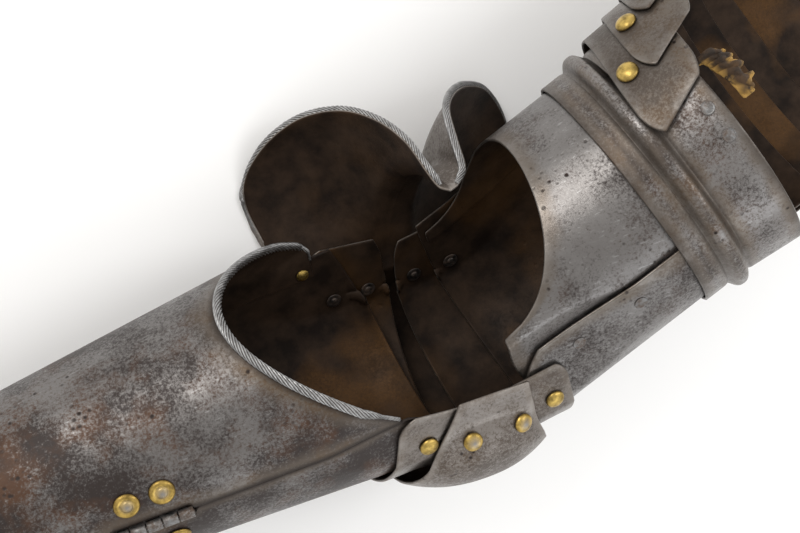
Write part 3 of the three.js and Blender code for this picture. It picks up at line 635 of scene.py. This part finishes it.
# Hinge of the lower cannon
# An iron butt hinge let into the near seam: two leaves inside the plates, with knuckles bent round
# one pin. The leaves are riveted through the plates by the brass rosettes.
knuckle_count = 5
knuckle_bore = 1.35
pin_radius = 1.05
leaf_thick = 1.2
leaf_width = 15
web_wide = 1.6
knuckle_chamfer = 0.25
hinge_radius = fore_radius(np.float64(hinge_at))
hinge_radial = Vector((0, np.sin(np.radians(hinge_seam)), -np.cos(np.radians(hinge_seam))))
hinge_along = (Vector((1, 0, 0)) + hinge_radial * fore_taper).normalized()
hinge_out = (hinge_radial - hinge_along * hinge_radial.dot(hinge_along)).normalized()
hinge_cross = hinge_out.cross(hinge_along)
pin_height = knuckle_radius - 0.6
hinge_centre = Vector((hinge_at, 0, 0)) + hinge_radial * hinge_radius + hinge_out * pin_height
hinge_place = Matrix((hinge_along, hinge_cross, hinge_out)).transposed().to_4x4()
hinge_place.translation = hinge_centre


def lathe(name, profile, sides, place, closed=False):
    """A turned body: profile of (radius, height) in mm about Z, closed on the axis or on itself."""
    count = len(profile)
    turns = np.linspace(0, 2 * np.pi, sides, endpoint=False)
    rows, quads = [], []
    for t in turns:
        rows += [(r * np.cos(t), r * np.sin(t), h) for r, h in profile]
    for s in range(sides):
        for k in range(count if closed else count - 1):
            a, b = s * count + k, s * count + (k + 1) % count
            c, d = (s + 1) % sides * count + (k + 1) % count, (s + 1) % sides * count + k
            quads.append((a, d, c, b))
    mesh = bpy.data.meshes.new(name)
    mesh.from_pydata([place @ Vector(p) for p in rows], [], quads)
    mesh.attributes.new("edge", "FLOAT", "POINT")
    work = bmesh.new()
    work.from_mesh(mesh)
    bmesh.ops.remove_doubles(work, verts=work.verts, dist=2e-6)
    bmesh.ops.recalc_face_normals(work, faces=work.faces)
    for face in work.faces:
        face.smooth = True
    work.to_mesh(mesh)
    work.free()
    return shown(name, mesh)


def joined(name, *parts):
    """One object of several closed bodies that are fixed to each other."""
    work = bmesh.new()
    for part in parts:
        work.from_mesh(part.data)
    mesh = bpy.data.meshes.new(name)
    work.to_mesh(mesh)
    work.free()
    for part in parts:
        bpy.data.objects.remove(part)
    return shown(name, mesh)


def worn_iron(name, bright, seed=0):
    """Forged iron fittings: dark, with brown in the hollows and a grey rub on top."""
    made, tree, surface, here = new_finish(name)
    here = wire(tree, "ShaderNodeMapping", {"Vector": here, "Location": (seed, 0, 0)}).outputs[0]
    blotch = cloud(tree, here, 210, 7, 0.66)
    speck = cloud(tree, here, 900, 4, 0.7)
    steel = ramp(tree, blotch, (0.38, 0.0), (0.62, 1.0))
    steel = blend_colour(tree, steel, (0.075, 0.05, 0.036), (bright,) * 3)
    light = ramp(tree, speck, (0.5, 0.0), (0.75, 0.6))
    feed(tree, surface, {
        "Base Color": blend_colour(tree, light, steel, (bright * 1.6,) * 3),
        "Metallic": ramp(tree, blotch, (0.38, 0.45), (0.6, 1.0)),
        "Roughness": ramp(tree, blotch, (0.3, 0.6), (0.7, 0.36)),
        "Normal": bumped(tree, speck, 0.0002, 0.5),
    })
    return made


hinge_iron = worn_iron("hinge_iron", 0.2)
across_pin = Matrix.Rotation(np.radians(90), 4, "Y")
for side, body, word in ((1, "fore_front", "front"), (-1, "fore_back", "back")):
    leaf_depth = sheet / 2 + fit * 2 + leaf_thick / 2

    def leaf_at(u, v):
        x = hinge_at + (u - 0.5) * hinge_length
        reach = mix(seam_gap / 2, leaf_width, v if side < 0 else 1 - v)
        angle = hinge_seam - np.degrees(side * reach / hinge_radius)
        return on_tube(x, angle, fore_radius(x) - leaf_depth)

    pieces = [shell("leaf", leaf_at, stations(8), stations(12), "fore", leaf_thick)]
    pitch = hinge_length / knuckle_count
    for k in range(1 if side > 0 else 0, knuckle_count, 2):
        long = pitch / 2 - fit
        inner = knuckle_radius - knuckle_chamfer
        short = long - knuckle_chamfer
        profile = [(knuckle_bore, -long), (inner, -long), (knuckle_radius, -short),
                   (knuckle_radius, short), (inner, long), (knuckle_bore, long)]
        centre = Matrix.Translation(((k + 0.5) * pitch - hinge_length / 2, 0, 0))
        place = place_of["fore"] @ hinge_place @ centre @ across_pin
        pieces.append(lathe("knuckle", profile, 28, place, closed=True))
        web = bmesh.new()
        deep = pin_height + leaf_depth
        bmesh.ops.create_cube(web, size=1)
        size = Matrix.Diagonal((pitch - 2 * fit, web_wide, deep, 1))
        shift = Matrix.Translation((0, side * (seam_gap + web_wide) / 2, -deep / 2))
        web.transform(place_of["fore"] @ hinge_place @ centre @ shift @ size)
        web_mesh = bpy.data.meshes.new("web")
        web.to_mesh(web_mesh)
        web.free()
        pieces.append(shown("web", web_mesh))
    finished(joined("hinge_" + word, *pieces), hinge_iron, body, "dark_iron", "hinge_leaf_" + word)
half_pin = hinge_length / 2
pin = lathe("hinge_pin_turned", [(0, -half_pin), (pin_radius * 0.8, -half_pin), (pin_radius, -half_pin + 0.2),
                                 (pin_radius, half_pin - 0.2), (pin_radius * 0.8, half_pin), (0, half_pin)],
            20, place_of["fore"] @ hinge_place @ across_pin)
finished(pin, hinge_iron, "fore_back", "dark_iron", "hinge_pin")

# Rivets, rosettes and studs
# Domed brass heads on the elbow, brass rosettes with iron centres at the hinge, and flush iron
# heads along the seams. Each is set on its plate by a node tree that stands heads on given places.
dome_radius = 4.7
dome_height = 2.7
rosette_radius = 6
rosette_height = 1.7
flush_radius = 3.6


def seat_of(node):
    """Where a fitting stands in the frame: the middle of its foot and the way that it faces."""
    mesh = frame["nodes"][node].data
    points = np.empty(len(mesh.vertices) * 3)
    mesh.vertices.foreach_get("co", points)
    points = np.unique(np.round(points.reshape(-1, 3), 7), axis=0)
    middle = points.mean(0)
    spread, ways = np.linalg.eigh(np.cov((points - middle).T))
    axis = ways[:, 0]
    height = (points - middle) @ axis
    wide = np.linalg.norm(points - middle - height[:, None] * axis, axis=1)
    rim = wide > wide.max() * 0.3
    if np.cov(height[rim], wide[rim])[0, 1] > 0:
        axis, height = -axis, -height
    return middle + axis * height.min(), axis


heads_tree, given, leave = tree_of("heads_on_plate", Head="Object", Finish="Material")
facing = wire(heads_tree, "GeometryNodeInputNamedAttribute", {"Name": "facing"}, data_type="FLOAT_VECTOR")
aligned = wire(heads_tree, "FunctionNodeAlignRotationToVector", {"Vector": facing.outputs[0]}, axis="Z")
shape = wire(heads_tree, "GeometryNodeObjectInfo", {"Object": given.outputs["Head"]})
shape.transform_space = "ORIGINAL"
stood = wire(heads_tree, "GeometryNodeInstanceOnPoints", {
    "Points": given.outputs["Geometry"],
    "Instance": shape.outputs["Geometry"],
    "Rotation": aligned.outputs[0],
})
end_tree(heads_tree, given, leave, stood.outputs[0])


def brass_of(name, tone, iron_core=0.0):
    """Old cast brass, brown where it isn't rubbed; iron_core is the radius of an iron rivet's end
    that shows in the middle of the head, read from the head's own attribute."""
    made, tree, surface, here = new_finish(name)
    from_axis = own_value(tree, "edge")
    blotch = cloud(tree, here, 260, 7, 0.62)
    speck = cloud(tree, here, 1500, 3, 0.6)
    gold = blend_colour(tree, ramp(tree, blotch, (0.36, 0.0), (0.6, 1.0)), toned(0.42, *tone), tone)
    foot = ramp(tree, from_axis, (dome_radius * 0.00085, 0.0), (dome_radius * 0.001, 0.85))
    hue = blend_colour(tree, foot, gold, (0.1, 0.055, 0.02))
    if iron_core:
        core = ramp(tree, from_axis, (iron_core * 0.00085, 1.0), (iron_core * 0.001, 0.0))
        hue = blend_colour(tree, core, hue, (0.24, 0.23, 0.22))
    feed(tree, surface, {
        "Base Color": hue,
        "Metallic": 0.95,
        "Roughness": ramp(tree, blotch, (0.3, 0.5), (0.7, 0.28)),
        "Normal": bumped(tree, speck, 0.00015, 0.5),
    })
    return made


def head_of(name, profile, sides, wide=1, high=1):
    """A turned head, its profile in shares of wide and high, that knows how far out it is."""
    profile = [(out * wide, up * high) for out, up in profile]
    shape = lathe(name, profile, sides, Matrix.Scale(0.001, 4))
    values = [Vector((v.co.x, v.co.y)).length for v in shape.data.vertices]
    shape.data.attributes["edge"].data.foreach_set("value", values)
    return shape


def stand_heads(name, head, finish, body, slot, nodes):
    """Heads of one kind where the nodes stand, as one mesh that takes their place."""
    mesh = bpy.data.meshes.new(name)
    seats = [seat_of(node) for node in nodes]
    mesh.from_pydata([tuple(place) for place, way in seats], [], [])
    ways = np.array([way for place, way in seats], dtype=np.float32)
    mesh.attributes.new("facing", "FLOAT_VECTOR", "POINT").data.foreach_set("vector", ways.ravel())
    obj = shown(name, mesh)
    grown(obj, heads_tree, Head=head, Finish=finish)
    return finished(obj, finish, body, slot, *nodes)


swell = [(np.cos(np.radians(a)), 0.16 + 0.84 * np.sin(np.radians(a))) for a in range(0, 90, 9)]
domed = [(0, 0), (0.96, 0)] + swell + [(0, 1)]
dome = head_of("dome_head", domed, 40, dome_radius, dome_height)
wide_dome = head_of("wide_dome_head", domed, 40, dome_radius * 1.14, dome_height * 1.25)
small_dome = head_of("small_dome_head", domed, 32, dome_radius * 0.7, dome_height * 0.7)
stud_dome = head_of("stud_head", domed, 32, dome_radius * 0.8, dome_height * 1.3)
rosette = head_of("rosette_head", [
    (0, 0), (0.98, 0), (1, 0.12), (0.97, 0.4), (0.9, 0.7), (0.78, 0.9), (0.66, 0.86), (0.56, 0.66),
    (0.5, 0.62), (0.42, 0.9), (0.34, 1.15), (0.2, 1.28), (0, 1.32),
], 48, rosette_radius, rosette_height)
washer = head_of("washer_head", [
    (0, 0), (1, 0), (1.12, 0.2), (1.05, 0.42), (0.7, 0.5), (0.6, 0.32), (0.5, 0.42), (0.46, 0.8),
    (0.2, 1.0), (0, 1.02),
], 40, flush_radius)
flat = head_of("filed_head", [
    (0, -0.6), (0.9, -0.6), (0.9, -0.2), (0.8, -0.13), (0.74, -0.22), (0.66, -0.22), (0.6, -0.12), (0, -0.05),
], 36, flush_radius)
brass = brass_of("old_brass", (0.5, 0.35, 0.1))
cored_brass = brass_of("old_brass_iron_core", (0.54, 0.37, 0.1), 2.4)
rivet_iron = worn_iron("rivet_iron", 0.15, 3)
rusted_iron = worn_iron("rusted_rivet_iron", 0.05, 7)
flat_iron = worn_iron("filed_rivet_iron", 0.17, 5)
sides = ("near", "far")
placed_heads = [
    # piece, head, finish, body, slot, nodes
    ("hinge_rosettes_front", rosette, cored_brass, "fore_front", "brass",
     [f"hinge_rosette_front_{k}" for k in (1, 2)]),
    ("hinge_rosettes_back", rosette, cored_brass, "fore_back", "brass",
     [f"hinge_rosette_back_{k}" for k in (1, 2)]),
    ("lower_lame_rivet", dome, brass, "lame_lower", "brass", ["pivot_rivet_near_1"]),
    ("couter_rivets", dome, cored_brass, "couter", "brass",
     [f"pivot_rivet_{side}_{k}" for side in sides for k in (2, 3)]),
    ("upper_lame_rivet", dome, brass, "lame_upper", "brass", ["pivot_rivet_near_4"]),
]
for k, body in enumerate(("fore_back", "lame_lower", "lame_upper", "upper_cannon"), 1):
    ends = [f"pivot_end_{side}_{k}" for side in sides]
    placed_heads.append((f"pivot_ends_{k}", washer, rusted_iron, body, "dark_iron", ends))
placed_heads += [
    ("upper_seam_rivets", flat, flat_iron, "upper_cannon", "dark_iron",
     [f"seam_rivet_{side}_{k}" for side in sides for k in (1, 2)]),
    ("collar_rivets", flat, flat_iron, "shoulder", "dark_iron", ["collar_rivet_1", "collar_rivet_2"]),
    ("shoulder_front_rivets", wide_dome, brass, "shoulder", "brass",
     [f"shoulder_rivet_front_{k}" for k in range(1, 6)]),
    ("shoulder_back_rivets", dome, rivet_iron, "shoulder", "dark_iron",
     [f"shoulder_rivet_back_{k}" for k in range(1, 6)]),
    ("closing_stud_head", stud_dome, rivet_iron, "fore_back", "dark_iron", ["closing_stud"]),
    ("closing_rivet_end", small_dome, brass, "fore_front", "brass", ["closing_seam_rivet"]),
]
for row in placed_heads:
    stand_heads(*row)
for head in (dome, wide_dome, small_dome, stud_dome, rosette, washer, flat):
    bpy.data.objects.remove(head)

# Elbow lames
# Two narrow steel bands across the inside of the elbow's bend and round its back. Each laps over a
# cannon on one side and turns under the couter on the other, on brass rivets at the sides.
upper_lame_over = 9
upper_lame_under = 12
lame_taper = 106
lame_corner = 0.09
lower_lame_ends = (-90, 101)
upper_lame_ends = (-92, 96)
lower_lame_wedge = 0.25
upper_lame_wedge = 0.04


def corner(share, size):
    """How much of a plate's width is left near its rounded end."""
    return np.where(share >= size, 1, np.sqrt(1 - (1 - np.minimum(share / size, 1)) ** 2 * 0.75))


def lame(over, under, near, far, wedge, mirrored):
    radius = tube_radius + layer
    flat = flat_side + layer

    def at(u, v):
        if mirrored:
            u = 1 - u
        angle = mix(near, far, v)
        ends = corner(np.minimum(v, 1 - v) * abs(far - near) / 100, lame_corner)
        low = -over * ends
        high = lame_span + under * ends * np.maximum(1 - (np.abs(angle) / lame_taper) ** 4, 0)
        s = mix(low, high, u)
        p = under_lap(s, angle, radius, flat, s - lame_span)
        p[..., 2] += np.minimum(s, 0) * wedge * np.maximum(np.cos(np.radians(angle)), 0)
        if mirrored:
            p[..., 0] = lame_span - s
        return p

    return at


lame_steel = worn_steel("elbow_lame_steel", 0.19, 0.2, 9, rusty=0.5, smooth=0.6, calm=0.45)
near_ends = np.linspace(0, lame_corner, 12)
lame_across = stations(120, np.concatenate((near_ends, 1 - near_ends)))
lower_lame = lame(lame_over, lame_under, *lower_lame_ends, lower_lame_wedge, False)
upper_lame = lame(upper_lame_over, upper_lame_under, *upper_lame_ends, upper_lame_wedge, True)
for word, shape_at in (("lower", lower_lame), ("upper", upper_lame)):
    plate = shell(f"elbow_lame_{word}_plate", shape_at, stations(30), lame_across, "lame_" + word)
    finished(plate, lame_steel, "lame_" + word, "steel", "elbow_lame_" + word)

# Couter and wing
# One plate: a bulged cap over the elbow whose outer side runs on as a heart-shaped wing of two
# lobes, pinched by a deep crease, with a roped edge turned out round both lobes.
couter_bulge = 15
couter_swell_to = 80
couter_half = 39
couter_edge_lift = 2.6
wing_half = 68.6
wing_half_upper = 77.5
wing_radius = 116.6
wing_lean = 10
wing_start = 78
crease_clear = 7
couter_rows = 0.56
couter_near_end = -94
rope_ends = ((0.004, 0.463), (0.996, 0.537))
rope_past = (-0.25, 0.25)
rope_behind = 1.1
couter_edges = np.array([
    # angle, lower side, upper side
    (couter_near_end, 0.44, 0.44),
    (-84, 0.56, 0.5),
    (-73, 0.72, 0.56),
    (-58, 0.88, 0.72),
    (-38, 0.98, 0.92),
    (0, 1, 1),
    (50, 1, 1),
    (78, 0.98, 0.98),
])
wing_rim = np.array([
    # share, angle, then reach and radius of the lower lobe and of the upper lobe
    (0, 168, 0, 0.579, 0, 0.579),
    (0.08, 167, 0.085, 0.607, 0.055, 0.591),
    (0.18, 163, 0.16, 0.682, 0.134, 0.628),
    (0.3, 154, 0.213, 0.78, 0.165, 0.72),
    (0.42, 145, 0.309, 0.875, 0.22, 0.825),
    (0.54, 136, 0.468, 0.961, 0.362, 0.892),
    (0.66, 127, 0.692, 1, 0.575, 0.939),
    (0.78, 118, 0.915, 0.961, 0.818, 0.938),
    (0.9, 106, 1, 0.885, 1, 0.849),
    (1, 95, 0.894, 0.749, 0.955, 0.738),
])


def read(rows, share, column):
    """A value of the table at a share of the way, eased between its rows."""
    x, y = rows[:, 0], rows[:, column]
    last = len(x) - 1
    k = np.clip(np.searchsorted(x, share, side="left") - 1, 0, last - 1)
    before, after = np.maximum(k - 1, 0), np.minimum(k + 2, last)
    width = x[k + 1] - x[k]
    t = np.clip((share - x[k]) / width, 0, 1)
    m0 = (y[k + 1] - y[before]) / np.maximum(x[k + 1] - x[before], 1e-6) * width
    m1 = (y[after] - y[k]) / np.maximum(x[after] - x[k], 1e-6) * width
    return ((2 * t ** 3 - 3 * t ** 2 + 1) * y[k] + (t ** 3 - 2 * t ** 2 + t) * m0
            + (3 * t ** 2 - 2 * t ** 3) * y[k + 1] + (t ** 3 - t ** 2) * m1)


def couter_side(across, angle):
    lobe = np.where(across < 0, read(couter_edges, angle, 1), read(couter_edges, angle, 2))
    return couter_span / 2 + across * couter_half * lobe


def couter_at(u, v):
    u, v = np.broadcast_arrays(u, v)
    across = u * 2 - 1
    part = np.abs(across)
    radius = tube_radius + 2 * layer
    flat = flat_side + 2 * layer
    angle = mix(couter_near_end, wing_start, np.minimum(v / couter_rows, 1))
    swell = np.maximum(np.cos(np.radians(angle / couter_swell_to * 90)), 0) ** 0.6
    dome = couter_bulge * swell * (1 - part ** 2.2)
    lift = couter_edge_lift * np.minimum(swell * 1.6, 1) * across ** 2
    cap = on_tube(couter_side(across, angle), angle, radius + dome + lift, flat + dome)
    t = np.clip((v - couter_rows) / (1 - couter_rows), 0, 1)
    lower = across < 0
    reach = np.where(lower, -wing_half * read(wing_rim, part, 2), wing_half_upper * read(wing_rim, part, 4))
    rim_radius = wing_radius * np.where(lower, read(wing_rim, part, 3), read(wing_rim, part, 5))
    turn = mix(wing_start, read(wing_rim, part, 1), t)
    opened = min(flat / np.sin(np.radians(wing_start)), radius)
    rise = t * t * (3 - 2 * t) * 0.45 + t * 0.55
    clear = crease_clear * np.sin(np.pi * t) * (1 - ease(part, 0, 0.35))
    wing = on_tube(0 * t, turn, mix(opened, rim_radius, rise) + clear)
    spread = 1 - (1 - t) ** 1.6
    wing[..., 0] = mix(couter_side(across, np.full_like(t, wing_start)), couter_span / 2 + reach, spread)
    wing[..., 0] += np.tan(np.radians(wing_lean)) * np.maximum(wing[..., 2] + pivot_depth, 0)
    return np.where((v <= couter_rows)[..., None], cap, wing)


def couter_rope(v):
    return rope_radius * ease(v, couter_rows + 0.06, couter_rows + 0.2)


couter_steel = worn_steel("couter_steel", 0.22, 0.25, 14, rusty=0.25, smooth=0.6, calm=0.4)
couter_across = stations(121, (0.47, 0.485, 0.4925, 0.5075, 0.515, 0.53))
couter_along = stations(150, (couter_rows,), 0.003)
plate = shell("couter_and_wing", couter_at, couter_across, couter_along, "couter")
finished(plate, couter_steel, "couter", "steel", "couter_with_wing")
rope_count = 420
fade_in = np.minimum(np.linspace(0.1, 5, rope_count), 1)
fade_out = np.minimum(np.linspace(10.5, 0.55, rope_count), 1)
for word, ends, past in zip(("lower", "upper"), rope_ends, rope_past):
    u = np.linspace(*ends, rope_count)
    v = np.ones(rope_count)
    thick_rope = 0.82 * couter_rope(v) * fade_in * fade_out
    rim = rim_line(couter_at, u, v, thick_rope, past, rope_behind)
    rope = rolled_line("wing_rope_" + word, place_of["couter"], rim, thick_rope)
    grown(rope, rope_tree, **rope_strands, Finish=bright_rope)
    finished(rope, bright_rope, "couter", "steel")

# Upper cannon
# Two steel plates riveted along both sides. The front one is cut out at the crook, the back one
# turns under the upper lame, and their top edges are turned out to run in the collar's bead.
upper_radius = 61.6
upper_length = 107
upper_end = 13
upper_seam = -101.9
upper_lap = 13
cut_deep = 55
cut_half_angle = 71
cut_centre = 170
flange_height = 3.4
flange_from = 0.93
flange_short = 3.5
flange_long = 2.2
seam_lap = 8
lap_ease = 22
upper_near_bow = 96
back_lap = 2


def upper_flat(x):
    return mix(flat_side, upper_radius, ease(x, upper_lame_over, upper_length * 0.8))


def upper_profile(s, start, lap):
    turn = np.radians(np.clip((s - flange_from) / (1 - flange_from), 0, 1) * 90)
    x = mix(start, upper_length - flange_short, np.minimum(s / flange_from, 1))
    x = x + (flange_long - lap) * np.sin(turn)
    return x, flange_height * (1 - np.cos(turn))


front_first = -upper_seam - seam_lap
front_last = 360 + upper_seam + upper_lap


def upper_front(u, v):
    angle = mix(front_first, front_last, v)
    off = np.abs(angle - cut_centre) / cut_half_angle
    cut = cut_deep * np.sqrt(np.maximum(1 - off ** 2, 0)) - 5 * ease(off, 0.9, 1.3)
    inwards = np.minimum(angle - front_first, front_last - angle)
    lap = -(sheet + slip) * (1 - ease(inwards, upper_lap, upper_lap + lap_ease))
    x, lift = upper_profile(u, cut, lap)
    return on_tube(x, angle, upper_radius + lap + lift, upper_flat(x) + lap)


def upper_back(u, v):
    angle = mix(upper_seam, -upper_seam + back_lap, v)
    x, lift = upper_profile(u, -upper_end * end_bow(angle, upper_near_bow), 0)
    p = under_lap(-x, angle, upper_radius + lift, upper_flat(x), -x)
    p[..., 0] = x
    return p


upper_steel = worn_steel("upper_cannon_steel", 0.16, 0.0, 20, rusty=0.5)
upper_along = stations(70, np.linspace(flange_from - 0.005, 1, 14))
cut_ends = cut_centre + np.array((-1, 1, -0.97, 0.97)) * cut_half_angle
cut_ends = (cut_ends - front_first) / (front_last - front_first)
plate = shell("upper_cannon_front", upper_front, upper_along, stations(120, cut_ends), "upper")
finished(plate, upper_steel, "upper_cannon", "steel", "upper_front_plate")
plate = shell("upper_cannon_back", upper_back, upper_along, stations(110), "upper")
finished(plate, upper_steel, "upper_cannon", "steel", "upper_back_plate")

# Turner collar
# A ring of steel round the top of the upper cannon. Its hollow bead holds the cannon's turned edge,
# so the collar and the shoulder lames turn round the arm.
collar_start = 87
collar_end = 140
bead = 4.6
collar_top = 67
collar_low = upper_radius + layer
groove_deep = 0.6
groove_wide = 1.1
grooves = (bead_at - bead * 1.3, bead_at + bead * 1.35)


def collar_radius(x):
    """The collar's middle line: a plain band, the round bead and the slightly flared top."""
    swell = np.exp(-np.abs((x - bead_at) / (bead * 0.8)) ** 3.4)
    above = np.clip((x - bead_at - bead) / (collar_end - bead_at - bead), 0, 1)
    top = mix(collar_low + 0.2, collar_top, above)
    plain = mix(collar_low, top, ease(x, bead_at - bead, bead_at + bead))
    groove = -groove_deep * sum(np.exp(-((x - place) / groove_wide) ** 2) for place in grooves)
    return plain + bead * 0.95 * swell + groove


collar_steel = worn_steel("collar_steel", 0.195, 0.0, 27, rusty=0.9, smooth=0.8, edge_shade=0.55)


def ring_of_sheet(name, radius_at, start, end, frame_of, rows=90, sides=260, thick=sheet):
    """A closed ring of sheet round the tube, with dressed edges."""
    x = np.unique(np.concatenate((np.linspace(start, end, rows), (start + 0.25, end - 0.25))))
    r = radius_at(x)
    slope = np.gradient(r, x)
    tilt = 1 / np.sqrt(1 + slope ** 2)
    out_x, out_r = x - slope * tilt * thick / 2, r + tilt * thick / 2
    in_x, in_r = x + slope * tilt * thick / 2, r - tilt * thick / 2
    turn = np.radians(np.arange(15, 180, 15))
    top_x, top_r = end + thick / 2 * np.sin(turn), r[-1] + thick / 2 * np.cos(turn)
    low_x, low_r = start - thick / 2 * np.sin(turn), r[0] - thick / 2 * np.cos(turn)
    section = np.concatenate((np.stack((out_x, out_r), 1), np.stack((top_x, top_r), 1),
                              np.stack((in_x, in_r), 1)[::-1], np.stack((low_x, low_r), 1)))
    count = len(section)
    angles = np.radians(np.arange(sides) * 360 / sides)
    x_all, r_all = section.T
    points = np.concatenate([
        np.stack((x_all, r_all * np.sin(a), -r_all * np.cos(a)), 1) for a in angles])
    k = np.arange(count)
    quads = []
    for s in range(sides):
        a, b = s * count, (s + 1) % sides * count
        quads.append(np.stack((a + k, b + k, b + (k + 1) % count, a + (k + 1) % count), 1))
    to_edge = np.minimum(np.abs(section[:, 0] - start), np.abs(end - section[:, 0]))
    # The grooves count as edges, so the finish paints shade into them as along the collar's edges.
    for place in grooves:
        to_edge = np.minimum(to_edge, np.abs(section[:, 0] - place) + 0.3)
    to_edge = to_edge / 1000
    inner = np.zeros(count)
    inner[len(x) + len(turn):2 * len(x) + len(turn)] = 1
    uv = np.stack((np.tile(section[:, 0], sides), np.repeat(angles * r.mean(), count)), 1) / 1000
    return skin_mesh(name, place_of[frame_of], points, np.concatenate(quads).tolist(),
                     np.tile(to_edge, sides), np.tile(inner, sides), uv)


plate = ring_of_sheet("turner_collar_ring", collar_radius, collar_start, collar_end, "upper")
finished(plate, collar_steel, "shoulder", "steel", "turner_collar")

# Shoulder lames
# Five curved lames over the outside of the shoulder, open towards the armpit, with a pointed tip
# at the near end. Brass rivets and a leather held them one over the other.
shoulder_width = 36
shoulder_step = 16
shoulder_start = 108
shoulder_near = 213
shoulder_back = -10
shoulder_cap = 20
shoulder_cut = 9
shoulder_slant = 9
shoulder_pitch = sheet + slip
shoulder_flare = 0.04
shoulder_receding = 22
shoulder_corner = 0.05
lame_tones = ((0.125, 0.3), (0.15, 0.1), (0.15, 0.3), (0.14, 0.2), (0.13, 0.4))
for k, (bright, dark) in enumerate(lame_tones):
    width = shoulder_width + (shoulder_cap if k == len(lame_tones) - 1 else 0)

    def shoulder_at(u, v, k=k, width=width):
        radius = collar_low + bead + sheet / 2 + fit + k * shoulder_pitch
        cut = shoulder_near - k * shoulder_receding - shoulder_cut * u
        angle = mix(shoulder_back, cut, v)
        ends = corner(np.minimum(v, 1 - v), shoulder_corner)
        slant = shoulder_slant * ease(cut - angle, 0, 80)
        x = shoulder_start + k * shoulder_step + slant + mix((1 - ends) * 10, width - (1 - ends) * 8, u)
        return on_tube(x, angle, radius + (x - shoulder_start) * shoulder_flare)

    name = f"shoulder_lame_{k + 1}"
    near_ends = np.linspace(0, shoulder_corner, 10)
    shoulder_along = stations(150, np.concatenate((near_ends, 1 - near_ends)))
    plate = shell(name + "_plate", shoulder_at, stations(34), shoulder_along, "upper")
    steel = worn_steel(name + "_steel", bright, dark, 31 + 4 * k, rusty=0.9, smooth=0.6, calm=0.6)
    finished(plate, steel, "shoulder", "steel", name)

# Hanging leather
# What is left of the ochre buff leather that held the shoulder lames: torn, stiff and folded out
# over the collar's edge.
leather_thick = 1.8
leather_wide = 16
leather_turn = 24
leather_wave = 0.9
leather_fold = np.array([
    # share, place past the collar's edge, share of the turn, depth inside the collar
    (0, -4, 0, 2.05),
    (0.25, 5.8, 0.1, 3.2),
    (0.5, 8.2, 0.3, 3.6),
    (0.75, 9.8, 0.62, 2.4),
    (1, 10.6, 1, 3.6),
])


def leather_at(u, v):
    u, v = np.broadcast_arrays(u, v)
    free = ease(v, 0, 0.2)
    torn = 1.6 * np.sin(v * 31) + 1.1 * np.sin(v * 67 + 1) + 0.6 * np.sin(v * 113)
    x = collar_end + read(leather_fold, v, 1) + torn * u ** 2 * free
    x = x + leather_wide * u * (1 - 0.42 * u) * (1 - 0.35 * v)
    angle = shoulder_near - leather_wide + leather_turn * read(leather_fold, v, 2)
    crumple = 1.1 * np.sin(v * 23 + u * 6) * ease(u, 0, 0.8) + 0.5 * np.sin(v * 51 - u * 11)
    curl = 3.4 * u ** 2 * np.sin(v * 9 + 1.2)
    roll_over = 3.2 * np.sin(np.pi * u) * free
    wave = leather_wave * np.sin(np.radians(v * 540) + u * 2) + 1.5 * u + crumple - np.abs(curl) + roll_over
    return on_tube(x, angle, collar_top - read(leather_fold, v, 3) + wave * free)


buff, tree, surface, here = new_finish("ochre_buff_leather")
grain = cloud(tree, here, 700, 6, 0.7)
stain = cloud(tree, here, 110, 6, 0.62, 0.5)
hue = ramp(tree, stain, (0.36, 0.0), (0.62, 1.0))
hue = blend_colour(tree, hue, (0.016, 0.009, 0.0045), (0.06, 0.03, 0.01))
torn_edge = ramp(tree, own_value(tree, "edge"), (0.0003, 1.0), (0.0016, 0.0))
torn_edge = product(tree, torn_edge, ramp(tree, stain, (0.44, 0.0), (0.54, 1.0)))
feed(tree, surface, {
    "Base Color": blend_colour(tree, torn_edge, hue, (0.36, 0.21, 0.05)),
    "Roughness": 0.85,
    "Normal": bumped(tree, reckon(tree, "ADD", grain, stain), 0.0008, 0.7),
})
leather = shell("torn_hanging_leather", leather_at, stations(40), stations(160), "upper", leather_thick)
finished(leather, buff, "shoulder", "leather", "hanging_leather")
